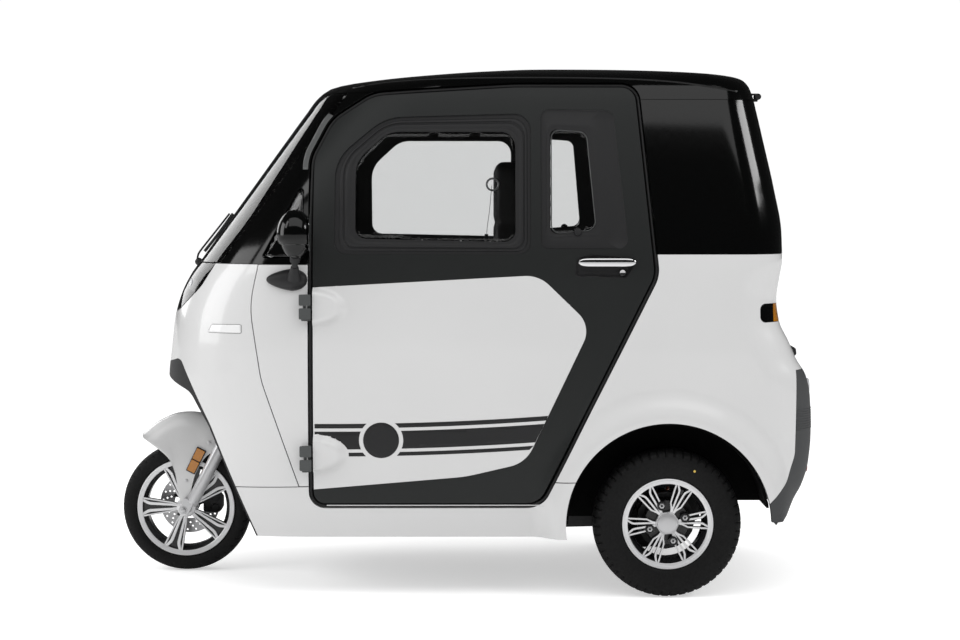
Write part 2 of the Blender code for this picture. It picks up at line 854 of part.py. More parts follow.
def make_quarter_panels(skin):
    """White rear quarters over the wheels, with their flared lips."""
    outline = (
        (0.200, sill_line(0.200) + SEAM, 0.0),
        (REAR_AXLE_X, sill_line(REAR_AXLE_X) + SEAM, 0.0),
        (REAR_AXLE_X, SILL_BOTTOM_Z, 0.0),
        (FAR, SILL_BOTTOM_Z, 0.0),
        (FAR, BELT_REAR_Z, 0.0),
        (0.200, BELT_REAR_Z, 0.0),
    )
    panel = skin_region(skin, outline)
    cut(panel, door_opening(), arch_cutter(), bumper_zone(SEAM), tail_zone(SEAM), lamp_zone(SEAM))
    publish_pair(panel, "quarter_panel", "white_paint")


def make_upper_quarters(skin):
    """Black panels between the doors and the rear hatch, over the belt line."""
    outline = (
        (0.450, BELT_REAR_Z + SEAM, 0.0),
        (FAR, BELT_REAR_Z + SEAM, 0.0),
        (FAR, ROOF_SEAM_REAR_Z - SEAM, 0.0),
        (0.450, ROOF_SEAM_REAR_Z - SEAM, 0.0),
    )
    panel = skin_region(skin, outline)
    cut(panel, door_opening(), hatch_prism(HATCH_GAP), tail_zone(SEAM))
    publish_pair(panel, "upper_quarter", "black_paint")


def make_a_pillars(skin):
    """Black pillars beside the windscreen, each with its small quarter glass opening."""
    edge = shifted(SCREEN_EDGE, 1.5 * SEAM)
    outline = (
        (edge[0][0], BELT_FRONT_Z, 0.0),
        (-0.200, BELT_FRONT_Z, 0.0),
        (-0.200, SCREEN_TOP_Z, 0.0),
        (edge[1][0], SCREEN_TOP_Z, 0.0),
    )
    pillar = skin_region(skin, outline)
    cut(pillar, door_opening(), side_prism(QUARTER_GLASS_OUTLINE))
    publish_pair(pillar, "a_pillar", "black_paint")


def make_roof(skin):
    """Black roof with the top of the rear frame round the hatch."""
    outline = (
        (-FAR, SCREEN_TOP_Z + SEAM, 0.0),
        (0.0, SCREEN_TOP_Z + SEAM, 0.0),
        (0.0, ROOF_SEAM_REAR_Z, 0.0),
        (FAR, ROOF_SEAM_REAR_Z, 0.0),
        (FAR, FAR + 1.0, 0.0),
        (-FAR, FAR + 1.0, 0.0),
    )
    roof = skin_region(skin, outline, left_only=False)
    opening = door_opening()
    cut(roof, mirrored(opening), opening, hatch_prism(HATCH_GAP))
    join(roof, *hatch_eyes())
    publish(roof, "roof", "black_paint")


def make_tail_panel(skin):
    """White panel under the hatch, with the dark lamp over the number plate."""
    panel = keep(copy_of(skin), tail_zone(0.0))
    join(panel, box((1.045, -0.060, 0.710), (1.104, 0.060, 0.748)))
    publish(panel, "tail_panel", "white_paint")


def make_bumper(skin):
    """Grey rear bumper with a flat recess for the number plate."""
    bumper = keep(copy_of(skin), bumper_zone(0.0))
    opening = arch_cutter()
    cut(bumper, mirrored(opening), opening)
    recess = plate(rounded(((-PLATE_HALF_WIDTH, 0.500, 0.010), (PLATE_HALF_WIDTH, 0.500, 0.010),
                            (PLATE_HALF_WIDTH, 0.630, 0.010), (-PLATE_HALF_WIDTH, 0.630, 0.010))),
                   "yz", PLATE_X, FAR)
    cut(bumper, recess)
    publish(bumper, "rear_bumper", "bumper_plastic")


def make_tail_lamps(skin):
    """Rear lamps that wrap round the corners."""
    lamp = keep(copy_of(skin), lamp_zone(0.0))
    publish_pair(lamp, "tail_lamp", "lamp_glass")


# Glass

def make_windscreen():
    """Curved windscreen, flush with the pillars and the roof."""
    pane = body_shell(0.001, 0.001 + GLASS_THICKNESS)
    outline = (
        (-FAR, BELT_FRONT_Z + SEAM, 0.0),
        (SCREEN_EDGE[0][0], BELT_FRONT_Z + SEAM, 0.0),
        (SCREEN_EDGE[1][0], SCREEN_EDGE[1][1], 0.0),
        (-FAR, SCREEN_EDGE[1][1], 0.0),
    )
    keep(pane, side_prism(outline, left_only=False))
    publish(pane, "windscreen", "window_glass")


def make_quarter_glasses(glass):
    """Small fixed panes in the pillars."""
    pane = skin_region(glass, grown(QUARTER_GLASS_OUTLINE, -TOUCH))
    publish_pair(pane, "quarter_glass", "window_glass")


# Doors

def hinge_places():
    """Lower and upper height of each door hinge."""
    half = HINGE_HEIGHT / 2
    return [(middle - half, middle + half) for middle in (HINGE_LOW_Z, HINGE_HIGH_Z)]


def make_door_posts(inner):
    """Posts behind the door's front edge; their arms come out through the gap with the hinge pins."""
    gap_front = DOOR_FRONT_X - DOOR_GAP
    post = box((POST_FRONT_X, -0.600, POST_LOW_Z), (gap_front + 0.010, -POST_INNER_Y, POST_HIGH_Z))
    keep(post, copy_of(inner))
    third = HINGE_HEIGHT / 3
    for low, high in hinge_places():
        join(post, box((gap_front + 0.0006, -HINGE_Y + 0.0125, low), (gap_front + 0.0100, -0.490, high)))
        for eye_low in (low, high - third):
            eye_high = eye_low + third
            join(
                post,
                box((gap_front + 0.0006, -HINGE_Y - 0.004, eye_low),
                    (gap_front + 0.0100, -HINGE_Y + 0.020, eye_high)),
                box((HINGE_X, -HINGE_Y - 0.006, eye_low), (gap_front + 0.005, -HINGE_Y + 0.006, eye_high)),
                rod((HINGE_X, -HINGE_Y, eye_low), (HINGE_X, -HINGE_Y, eye_high), KNUCKLE_RADIUS, sides=12),
            )
        join(post, rod((HINGE_X, -HINGE_Y, low + 0.005), (HINGE_X, -HINGE_Y, high - 0.005),
                       HINGE_PIN_RADIUS, sides=12))
    publish_pair(post, "door_post", "bumper_plastic")


def door_knuckles():
    """The door's own part of each hinge: an arm with a bored eye between the post's two eyes."""
    third = HINGE_HEIGHT / 3
    whole = None
    for low, high in hinge_places():
        eye_low = low + third + HINGE_PLAY
        eye_high = high - third - HINGE_PLAY
        arm = box((HINGE_X, -HINGE_Y - 0.006, eye_low), (DOOR_FRONT_X + 0.020, -HINGE_Y + 0.004, eye_high))
        foot = plate(
            rounded((
                (DOOR_FRONT_X + 0.002, low - 0.002, 0.004),
                (DOOR_FRONT_X + 0.105, low + 0.006, 0.034),
                (DOOR_FRONT_X + 0.105, high - 0.006, 0.034),
                (DOOR_FRONT_X + 0.002, high + 0.002, 0.004),
            )),
            "xz", -HINGE_Y + 0.002, -0.520,
        )
        join(arm, foot, rod((HINGE_X, -HINGE_Y, eye_low), (HINGE_X, -HINGE_Y, eye_high),
                            KNUCKLE_RADIUS, sides=12))
        cut(arm, rod((HINGE_X, -HINGE_Y, low), (HINGE_X, -HINGE_Y, high),
                     HINGE_PIN_RADIUS + HINGE_PLAY, sides=12))
        whole = arm if whole is None else join(whole, arm)
    return whole


def make_doors(skin, glass):
    """Each door: a dark frame, a white panel with the hinges, two panes and a handle."""
    origin = (HINGE_X, -HINGE_Y, 0.0)
    leaf = skin_region(skin, DOOR_OUTLINE)

    frame = copy_of(leaf)
    cut(
        frame,
        side_prism(grown(DOOR_PANEL_OUTLINE, SEAM)),
        side_prism(MAIN_WINDOW_OUTLINE),
        side_prism(VENT_WINDOW_OUTLINE),
        keep(side_prism(HANDLE_OUTLINE), body_reversed(HANDLE_DEPTH)),
    )
    publish_pair(frame, "door_frame", "door_frame_paint", origin)

    panel = keep(leaf, side_prism(DOOR_PANEL_OUTLINE))
    join(panel, door_knuckles())
    publish_pair(panel, "door_panel", "white_paint", origin)

    for name, outline in (("door_glass", MAIN_WINDOW_OUTLINE), ("vent_glass", VENT_WINDOW_OUTLINE)):
        pane = skin_region(glass, grown(outline, -TOUCH))
        publish_pair(pane, name, "window_glass", origin)

    handle = keep(body_shell(-0.004, HANDLE_DEPTH - TOUCH), side_prism(grown(HANDLE_OUTLINE, -TOUCH)))
    pocket = side_prism((
        (0.368, 0.996, 0.010),
        (0.512, 0.990, 0.014),
        (0.526, 1.018, 0.006),
        (0.368, 1.022, 0.006),
    ))
    cut(handle, keep(pocket, body_reversed(HANDLE_DEPTH - 0.006)))
    publish_pair(handle, "door_handle", "chrome", origin)


def body_reversed(depth):
    """All the space outside the cabin's form drawn in by a depth, as far as a cutter needs."""
    return cut(box((-FAR, -FAR, 0.0), (FAR, FAR, FAR + 0.4)), body_solid(depth))


# Rear hatch

def hatch_rod(y, half, radius):
    """A round piece on the hatch's axis, about a place across the vehicle."""
    start = (HATCH_AXIS_X, y - half, HATCH_AXIS_Z)
    return rod(start, (HATCH_AXIS_X, y + half, HATCH_AXIS_Z), radius, sides=12)


def hatch_arm(y, half, low, high):
    """A flat arm from the wall out to the hatch's axis."""
    return box(
        (HATCH_AXIS_X - 0.041, y - half, HATCH_AXIS_Z + low),
        (HATCH_AXIS_X + 0.002, y + half, HATCH_AXIS_Z + high),
    )


def hatch_eyes():
    """The roof's part of the hatch hinges: two eyes with a pin on each side."""
    pieces = []
    for side in (-1, 1):
        middle = side * HATCH_HINGE_Y
        reach = HATCH_KNUCKLE / 2 + HATCH_EYE / 2
        for eye in (middle - reach, middle + reach):
            pieces.append(hatch_arm(eye, HATCH_EYE / 2, 0.0055, 0.0115))
            pieces.append(hatch_rod(eye, HATCH_EYE / 2, KNUCKLE_RADIUS))
        pieces.append(hatch_rod(middle, reach, HINGE_PIN_RADIUS))
    return pieces


def add_hatch_knuckles(frame):
    """The hatch's own part of its hinges: a bored knuckle between each pair of eyes."""
    half = HATCH_KNUCKLE / 2 - HINGE_PLAY
    for side in (-1, 1):
        middle = side * HATCH_HINGE_Y
        knuckle = join(hatch_arm(middle, half, -0.016, -0.0045), hatch_rod(middle, half, KNUCKLE_RADIUS))
        cut(knuckle, hatch_rod(middle, half + 0.01, HINGE_PIN_RADIUS + HINGE_PLAY))
        join(frame, knuckle)


def make_hatch(skin, glass):
    """Glazed hatch in a dark frame, hung at the back of the roof."""
    origin = (HATCH_AXIS_X, 0.0, HATCH_AXIS_Z)
    frame = keep(copy_of(skin), hatch_prism(0.0))
    window = -HATCH_FRAME
    cut(frame, hatch_prism(window))
    add_hatch_knuckles(frame)
    publish(frame, "hatch_frame", "black_paint", origin)
    pane = keep(copy_of(glass), hatch_prism(window - TOUCH))
    publish(pane, "hatch_glass", "window_glass", origin)


# Cabin inside

def steer_x(z, behind=0.0):
    """Where the steering axis, or a line beside it, lies at a height."""
    return FRONT_AXLE_X + AXLE_TRAIL + behind + (z - FRONT_TYRE_RADIUS) * math.tan(RAKE)


def steer_point(z, behind=0.0, y=0.0):
    """A point on the steering axis, or on a line beside it."""
    return (steer_x(z, behind), y, z)


def make_floor(inner):
    """Floor pan between the sills."""
    low = (BULKHEAD_X - 0.002, -1, FLOOR_Z - FLOOR_THICKNESS)
    floor = keep(copy_of(inner), box(low, (TUB_FRONT_X - TOUCH, 1, FLOOR_Z)))
    publish(floor, "floor_pan", "cabin_plastic")


def make_dashboard(inner):
    """Dashboard and the bulkhead under it, with the hole for the steering column."""
    corners = (
        (BULKHEAD_X, FLOOR_Z + TOUCH, 0.0),
        (BULKHEAD_X + 0.012, FLOOR_Z + TOUCH, 0.0),
        (BULKHEAD_X + 0.012, 0.740, 0.050),
        (-0.508, 0.830, 0.040),
        (-0.482, 0.968, 0.020),
        (-0.540, 0.990, 0.030),
        (-0.790, 1.012, 0.0),
        (-0.790, 0.994, 0.0),
        (-0.545, 0.972, 0.020),
        (-0.500, 0.956, 0.015),
        (-0.524, 0.836, 0.040),
        (BULKHEAD_X, 0.748, 0.050),
    )
    board = keep(plate(rounded(corners), "xz", -0.60, 0.60), copy_of(inner))
    cut(board, rod(steer_point(0.600), steer_point(0.960), 0.036))
    for side in (-1, 1):
        low, high = sorted((side * (POST_INNER_Y - TOUCH), side * 0.60))
        cut(board, box((POST_FRONT_X - TOUCH, low, POST_LOW_Z - TOUCH), (0.0, high, POST_HIGH_Z + TOUCH)))
    publish(board, "dashboard", "cabin_plastic")


def make_rear_tub(inner):
    """Luggage tray between the rear wheels, with shelves over them and a front wall."""
    shelf = keep(copy_of(inner), box((TUB_FRONT_X, -1, TUB_SHELF_Z - TUB_WALL), (FAR, 1, TUB_SHELF_Z)))
    half = TUB_HALF_WIDTH
    join(
        shelf,
        box((TUB_FRONT_X, -half, TUB_FLOOR_Z), (TUB_REAR_X, half, TUB_SHELF_Z - 0.004)),
        box(
            (TUB_FRONT_X, -half, FLOOR_Z - FLOOR_THICKNESS),
            (TUB_FRONT_X + TUB_WALL, half, TUB_FLOOR_Z + 0.02),
        ),
    )
    cut(
        shelf,
        box(
            (TUB_FRONT_X + TUB_WALL, -half + TUB_WALL, TUB_FLOOR_Z + TUB_WALL),
            (TUB_REAR_X - TUB_WALL, half - TUB_WALL, TUB_SHELF_Z + 0.05),
        ),
    )
    publish(shelf, "rear_tub", "cabin_plastic")


def softened(thing, width, segments=2):
    """Round a scratch solid's edges."""
    bevel = thing.modifiers.new("Edges", "BEVEL")
    bevel.width = width
    bevel.segments = segments
    bevel.limit_method = "ANGLE"
    evaluated = thing.evaluated_get(bpy.context.evaluated_depsgraph_get())
    mesh = bpy.data.meshes.new_from_object(evaluated)
    thing.modifiers.clear()
    thing.data = mesh
    return thing


def make_seat():
    """Driver's seat on the battery box."""
    low = (SEAT_FRONT_X + 0.050, -SEAT_BOX_HALF_WIDTH, FLOOR_Z + TOUCH)
    seat_box = softened(box(low, (SEAT_BOX_REAR_X, SEAT_BOX_HALF_WIDTH, SEAT_Z)), 0.015, 1)
    publish(seat_box, "seat_box", "cabin_plastic")
    cushion = softened(
        box(
            (SEAT_FRONT_X, -SEAT_HALF_WIDTH, SEAT_Z + TOUCH),
            (SEAT_BACK_X - TOUCH, SEAT_HALF_WIDTH, SEAT_Z + 0.095),
        ),
        0.030,
    )
    publish(cushion, "seat_cushion", "seat_cover")
    right = ((SEAT_BACK_FOOT, SEAT_Z + TOUCH, 0.020),) + SEAT_BACK_OUTLINE
    left = tuple((-y, z, radius) for y, z, radius in reversed(right))
    outline = right + left
    back = plate(rounded(outline), "yz", SEAT_BACK_X, SEAT_BACK_X + 0.100)
    publish(softened(back, 0.020, 1), "seat_back", "seat_cover")


# Frame and rear axle

def make_frame():
    """Welded frame: two rails that rise over the rear axle, cross tubes and the steering head."""
    low = FLOOR_Z - FLOOR_THICKNESS - TOUCH
    high = TUB_FLOOR_Z - TOUCH
    size = RAIL_SIZE
    path = (
        (FRAME_FRONT_X, low - size, 0.0),
        (KICK_X + 0.028, low - size, 0.060),
        (KICK_X + 0.113, high - size, 0.060),
        (FRAME_REAR_X, high - size, 0.0),
        (FRAME_REAR_X, high, 0.0),
        (KICK_X + 0.085, high, 0.060),
        (KICK_X, low, 0.060),
        (FRAME_FRONT_X, low, 0.0),
    )
    frame = plate(rounded(path), "xz", -RAIL_Y - size / 2, -RAIL_Y + size / 2)
    join(frame, plate(rounded(path), "xz", RAIL_Y - size / 2, RAIL_Y + size / 2))
    places = [(x, low - size) for x in BODY_TUBE_X] + [(AXLE_TUBE_X, high - size)]
    for x, bottom in places:
        join(frame, box((x, -RAIL_Y, bottom + 0.002), (x + size, RAIL_Y, bottom + size - 0.002)))
    beam = keep(
        body_solid(WALL + TOUCH),
        box((BEAM_FRONT_X, -BEAM_HALF_WIDTH, high - size + 0.002), (FAR, BEAM_HALF_WIDTH, high - 0.002)),
    )
    riser = box(
        (BULKHEAD_X - 0.025, -0.045, low - size + 0.004),
        (BULKHEAD_X - 0.003, 0.045, HEAD_LOW_Z + 0.055),
    )
    join(frame, beam, riser)
    join(frame, rod(steer_point(HEAD_LOW_Z), steer_point(HEAD_HIGH_Z), 0.028))
    cut(frame, rod(steer_point(HEAD_LOW_Z - 0.05), steer_point(HEAD_HIGH_Z + 0.05), STEM_RADIUS + 0.0012))
    publish(frame, "frame", "frame_steel")


def make_rear_axle():
    """Axle with its gear housing, motor, brake drums, wheel stubs and trailing arms."""
    axle_z = REAR_TYRE_RADIUS
    axle = rod((REAR_AXLE_X, -0.392, axle_z), (REAR_AXLE_X, 0.392, axle_z), 0.028)
    join(
        axle,
        ball((REAR_AXLE_X, 0.0, axle_z), (0.105, 0.080, 0.095), rings=8, sides=12),
        rod((REAR_AXLE_X - 0.043, 0.0, axle_z), (REAR_AXLE_X - 0.258, 0.0, axle_z), 0.066),
    )
    for side in (-1, 1):
        join(
            axle,
            rod(
                (REAR_AXLE_X, side * 0.385, axle_z),
                (REAR_AXLE_X, side * DRUM_OUTER_Y, axle_z),
                DRUM_RADIUS,
            ),
            rod((REAR_AXLE_X, side * 0.400, axle_z), (REAR_AXLE_X, side * STUB_END_Y, axle_z), STUB_RADIUS),
            plate(
                rounded((
                    (0.262, 0.186, 0.012),
                    (0.300, 0.180, 0.012),
                    (REAR_AXLE_X + 0.045, axle_z - 0.040, 0.020),
                    (REAR_AXLE_X + 0.045, axle_z + 0.020, 0.015),
                    (REAR_AXLE_X - 0.045, axle_z + 0.020, 0.015),
                    (0.345, 0.214, 0.030),
                    (0.262, 0.212, 0.012),
                )),
                "xz",
                min(side * ARM_INNER_Y, side * (ARM_INNER_Y + 0.022)),
                max(side * ARM_INNER_Y, side * (ARM_INNER_Y + 0.022)),
            ),
            box(
                (REAR_AXLE_X - 0.030, min(side * 0.195, side * 0.255), axle_z),
                (REAR_AXLE_X + 0.030, max(side * 0.195, side * 0.255), SHOCK_LOW_Z - TOUCH),
            ),
        )
    publish(axle, "rear_axle", "frame_steel")


def make_shocks():
    """Coil springs over dampers, between the axle and the rails."""
    top = TUB_FLOOR_Z - TOUCH - RAIL_SIZE - TOUCH
    low = SHOCK_LOW_Z
    place = (REAR_AXLE_X, -RAIL_Y)
    shock = rod((*place, low), (*place, low + 0.010), SPRING_RADIUS + 0.010)
    join(
        shock,
        rod((*place, top - 0.010), (*place, top), SPRING_RADIUS + 0.010),
        rod((*place, low + 0.002), (*place, top - 0.002), 0.013, sides=12),
    )
    count = SPRING_TURNS * 8
    points = []
    for step in range(count + 1):
        angle = 2 * math.pi * step / 8
        height = low + 0.008 + (top - low - 0.016) * step / count
        points.append((
            place[0] + SPRING_RADIUS * math.cos(angle),
            place[1] + SPRING_RADIUS * math.sin(angle),
            height,
        ))
    join(shock, tube(points, SPRING_WIRE, bevel_resolution=0))
    publish_pair(shock, "shock", "spring_paint")


def make_wheel_liners():
    """Dark liners inside the rear wheel arches."""
    outer = ARCH_RADIUS - SEAM
    inner = outer - 0.007
    outside = BODY_HALF_WIDTH - 0.018
    profile = (
        (LINER_BORE, -LINER_INNER_Y),
        (outer, -LINER_INNER_Y),
        (outer, -outside),
        (inner, -outside),
        (inner, -LINER_INNER_Y - 0.007),
        (LINER_BORE, -LINER_INNER_Y - 0.007),
    )
    liner = turned(profile, (REAR_AXLE_X, 0.0, REAR_TYRE_RADIUS), steps=ARCH_STEPS)
    cut(liner, box((0.0, -1.0, -0.2), (REAR_AXLE_X + 0.02, 0.0, 0.230)),
        box((REAR_AXLE_X, -1.0, -0.2), (FAR, 0.0, 0.280)))
    publish_pair(liner, "wheel_liner", "trim_plastic")


# Steering and front wheel

def make_fork():
    """Telescopic fork with its lower yoke, steering stem, axle pin and brake caliper."""
    leg_low = 0.232
    yoke_z = 0.585
    caliper = softened(
        box((FRONT_AXLE_X + 0.045, DISC_Y - 0.015, FRONT_TYRE_RADIUS - 0.030),
            (FRONT_AXLE_X + 0.112, DISC_Y + 0.021, FRONT_TYRE_RADIUS + 0.038)),
        0.008, 1,
    )
    slot = box((FRONT_AXLE_X + 0.020, DISC_Y - 0.0075, FRONT_TYRE_RADIUS - 0.060),
               (FRONT_AXLE_X + 0.1065, DISC_Y + 0.0075, FRONT_TYRE_RADIUS + 0.080))
    bracket = box((FRONT_AXLE_X + 0.0105, DISC_Y + 0.015, FRONT_TYRE_RADIUS + 0.0031),
                  (FRONT_AXLE_X + 0.085, DISC_Y + 0.0395, FRONT_TYRE_RADIUS + 0.026))
    cut(caliper, slot)
    fork = join(bracket, caliper)
    for side in (-1, 1):
        y = side * LEG_Y
        leg = rod(
            steer_point(leg_low, -STEER_OFFSET, y),
            steer_point(yoke_z, -STEER_OFFSET, y),
            LEG_RADIUS,
            sides=20,
        )
        lug_x = steer_x(leg_low, -STEER_OFFSET)
        lug = plate(
            rounded((
                (FRONT_AXLE_X - 0.020, FRONT_TYRE_RADIUS - 0.019, 0.016),
                (FRONT_AXLE_X + 0.030, FRONT_TYRE_RADIUS - 0.019, 0.016),
                (lug_x + 0.032, leg_low + 0.030, 0.008),
                (lug_x - 0.010, leg_low + 0.040, 0.008),
                (FRONT_AXLE_X - 0.022, FRONT_TYRE_RADIUS + 0.016, 0.012),
            )),
            "xz", y - 0.009, y + 0.009,
        )
        join(leg, lug)
        join(fork, leg)
    left_end = steer_point(yoke_z - 0.030, -0.020, -LEG_Y)
    yoke = rod(left_end, steer_point(yoke_z - 0.030, -0.020, LEG_Y), 0.017, sides=12)
    crown = rod(steer_point(yoke_z - 0.045), steer_point(yoke_z - 0.010), 0.045)
    axle_end = LEG_Y + 0.009
    pin = rod((FRONT_AXLE_X, -axle_end - 0.006, FRONT_TYRE_RADIUS),
              (FRONT_AXLE_X, axle_end + 0.006, FRONT_TYRE_RADIUS), FRONT_PIN_RADIUS)
    nuts = [
        rod((FRONT_AXLE_X, side * (axle_end - 0.001), FRONT_TYRE_RADIUS),
            (FRONT_AXLE_X, side * (axle_end + 0.010), FRONT_TYRE_RADIUS), 0.015, sides=6)
        for side in (-1, 1)
    ]
    stem = rod(steer_point(yoke_z - 0.030), steer_point(STEM_TOP_Z), STEM_RADIUS, sides=20)
    join(fork, yoke, crown, pin, *nuts, stem)
    publish(fork, "fork", "bare_metal", steer_point(FRONT_TYRE_RADIUS))


def make_front_fender():
    """White mudguard over the front tyre, with legs down to the axle."""
    axle = (FRONT_AXLE_X, 0.0, FRONT_TYRE_RADIUS)
    outline = (
        (-1.022, 0.416, 0.006),
        (-0.958, 0.381, 0.030),
        (-0.934, 0.322, 0.030),
        (-0.922, 0.238, 0.010),
        (-0.896, 0.238, 0.010),
        (-0.868, 0.330, 0.030),
        (-0.815, 0.398, 0.030),
        (-0.730, 0.374, 0.006),
        (-0.728, 0.412, 0.050),
        (-0.800, 0.505, 0.080),
        (-0.905, 0.530, 0.120),
        (-1.000, 0.494, 0.060),
        (-1.047, 0.458, 0.008),
    )
    fender = plate(rounded(outline), "xz", -FENDER_HALF_WIDTH, FENDER_HALF_WIDTH)
    softened(fender, 0.010, 1)
    side = FENDER_HOLLOW
    hollow = turned(
        ((0.020, -side), (0.262, -side), (0.285, -0.045), (0.288, 0.0), (0.285, 0.045), (0.262, side),
         (0.020, side)),
        axle, steps=WHEEL_STEPS,
    )
    hole = rod((FRONT_AXLE_X, -0.2, FRONT_TYRE_RADIUS), (FRONT_AXLE_X, 0.2, FRONT_TYRE_RADIUS), 0.024)
    cut(fender, hollow, hole)
    publish(fender, "front_fender", "white_paint", steer_point(FRONT_TYRE_RADIUS))


def make_handlebar():
    """Handlebar on the stem, with its grips and the small console between them."""
    start = steer_point(STEM_TOP_Z + TOUCH)
    riser = rod(start, steer_point(STEM_TOP_Z + 0.040), 0.022, sides=16)
    middle = steer_point(STEM_TOP_Z + 0.045)
    bar = tube(
        (
            (middle[0] + 0.100, -0.270, middle[2] - 0.020),
            (middle[0] + 0.020, -0.130, middle[2]),
            (middle[0], -0.060, middle[2]),
            (middle[0], 0.060, middle[2]),
            (middle[0] + 0.020, 0.130, middle[2]),
            (middle[0] + 0.100, 0.270, middle[2] - 0.020),
        ),
        0.012,
    )
    console = softened(
        box((middle[0] - 0.045, -0.085, middle[2] - 0.030), (middle[0] + 0.035, 0.085, middle[2] + 0.035)),
        0.018, 1,
    )
    join(riser, bar, console)
    publish(riser, "handlebar", "cabin_plastic", steer_point(FRONT_TYRE_RADIUS))


def rim_ring(flange, half_width, steps):
    """The barrel of a wheel rim, centred on the y axis."""
    seat = flange - 0.0115
    well = flange - 0.024
    wall = 0.005
    side = half_width
    profile = (
        (flange, -side), (flange, -side + 0.0035), (seat, -side + 0.0040), (well, -side * 0.40),
        (well, side * 0.40), (seat, side - 0.0040), (flange, side - 0.0035), (flange, side),
        (seat - wall, side), (well - wall, side * 0.44), (well - wall, -side * 0.44), (seat - wall, -side),
    )
    return profile, steps


def make_front_wheel():
    """Front rim with twin spokes, its tyre and its brake disc."""
    centre = (FRONT_AXLE_X, 0.0, FRONT_TYRE_RADIUS)
    rim_half = FRONT_TYRE_WIDTH * 0.455
    profile, steps = rim_ring(FRONT_RIM_RADIUS, rim_half, WHEEL_STEPS)
    rim = turned(profile, centre, steps)
    face_radius = FRONT_RIM_RADIUS - 0.027
    holes = []
    for spoke in range(5):
        angle = math.pi + 2 * math.pi * spoke / 5
        holes.append(wheel_window(angle + math.pi / 5, 0.044, 0.120, 0.30, 0.42))
        holes.append(wheel_window(angle, 0.062, 0.121, 0.055, 0.085))
    face = plate_with_holes([circle(face_radius, WHEEL_STEPS)] + holes, "xz", -0.030, -0.012)
    face.data.transform(Matrix.Translation(centre))
    hub = rod((centre[0], -HUB_END_Y, centre[2]), (centre[0], DISC_Y - 0.0028, centre[2]), 0.030, sides=20)
    join(rim, face, hub)
    cut(rim, rod((centre[0], -0.1, centre[2]), (centre[0], 0.1, centre[2]), FRONT_PIN_RADIUS + 0.0010))
    publish(rim, "front_rim", "alloy", centre)

    seat = FRONT_RIM_RADIUS - 0.0115 + 0.0006
    bead = rim_half - 0.0046
    crown = FRONT_TYRE_RADIUS
    half = FRONT_TYRE_WIDTH / 2
    tyre = turned(
        (
            (seat, -bead), (FRONT_RIM_RADIUS + 0.0012, -bead), (crown - 0.030, -half),
            (crown - 0.010, -half * 0.82), (crown, -half * 0.20), (crown, half * 0.20),
            (crown - 0.010, half * 0.82), (crown - 0.030, half), (FRONT_RIM_RADIUS + 0.0012, bead),
            (seat, bead), (crown - 0.026, half * 0.66), (crown - 0.026, -half * 0.66),
        ),
        centre, steps=WHEEL_STEPS,
    )
    publish(tyre, "front_tyre", "tyre_rubber", centre)

    holes = [circle(0.0120, 12)]
    for place in range(10):
        holes.append(circle(0.0065, 6, polar(0.080, 2 * math.pi * (place + 0.5) / 10)))
    outlines = [circle(DISC_RADIUS, WHEEL_STEPS)] + holes
    disc = plate_with_holes(outlines, "xz", DISC_Y - 0.0020, DISC_Y + 0.0020)
    disc.data.transform(Matrix.Translation(centre))
    publish(disc, "front_brake_disc", "bare_metal", centre)


def make_rear_wheels():
    """Rear rims with six twin spokes, and their tyres."""
    centre = (REAR_AXLE_X, -REAR_WHEEL_Y, REAR_TYRE_RADIUS)
    rim_half = REAR_TYRE_WIDTH * 0.425
    profile, steps = rim_ring(REAR_RIM_RADIUS, rim_half, WHEEL_STEPS)
    rim = turned(profile, centre, steps)
    face_radius = REAR_RIM_RADIUS - 0.027
    holes = []
    for spoke in range(6):
        angle = math.radians(5) + 2 * math.pi * spoke / 6
        holes.append(wheel_window(angle + math.pi / 6, 0.070, 0.104, 0.20, 0.32))
        holes.append(wheel_window(angle, 0.074, 0.104, 0.035, 0.060))
    face = plate_with_holes([circle(face_radius, WHEEL_STEPS)] + holes, "xz", -0.038, -0.020)
    face.data.transform(Matrix.Translation(centre))
    hub = rod((centre[0], -REAR_WHEEL_Y - 0.044, centre[2]), (centre[0], -DRUM_OUTER_Y - 0.0055, centre[2]),
              0.035, sides=20)
    join(rim, face, hub)
    cut(rim, rod((centre[0], -DRUM_OUTER_Y + 0.01, centre[2]), (centre[0], -STUB_END_Y - 0.002, centre[2]),
                 STUB_RADIUS + 0.0010))
    publish_pair(rim, "rear_rim", "alloy", centre)

    seat = REAR_RIM_RADIUS - 0.0115 + 0.0006
    bead = rim_half - 0.0046
    crown = REAR_TYRE_RADIUS
    half = REAR_TYRE_WIDTH / 2
    tyre = turned(
        (
            (seat, -bead), (REAR_RIM_RADIUS + 0.0012, -bead), (crown - 0.050, -half),
            (crown - 0.018, -half * 0.96), (crown, -half * 0.70), (crown, half * 0.70),
            (crown - 0.018, half * 0.96), (crown - 0.050, half), (REAR_RIM_RADIUS + 0.0012, bead),
            (seat, bead), (crown - 0.036, half * 0.78), (crown - 0.036, -half * 0.78),
        ),
        centre, steps=WHEEL_STEPS,
    )
    publish_pair(tyre, "rear_tyre", "tyre_rubber", centre)


# Outside fittings

def make_wiper():
    """Single wiper, parked upright in the middle of the windscreen."""
    foot = rod((-0.828, 0.0, 0.990), (-0.872, 0.0, 1.030), 0.014, sides=12)
    arm = tube(((-0.868, 0.0, 1.026), (-0.862, 0.0, 1.046), (-0.7600, 0.0, 1.180)), 0.0050)
    blade = tube(((-0.842, 0.0, 1.056), (-0.7480, 0.0, 1.180)), 0.0058)
    join(foot, arm, blade)
    cut(foot, body_solid(-TOUCH))
    publish(foot, "wiper", "trim_plastic")


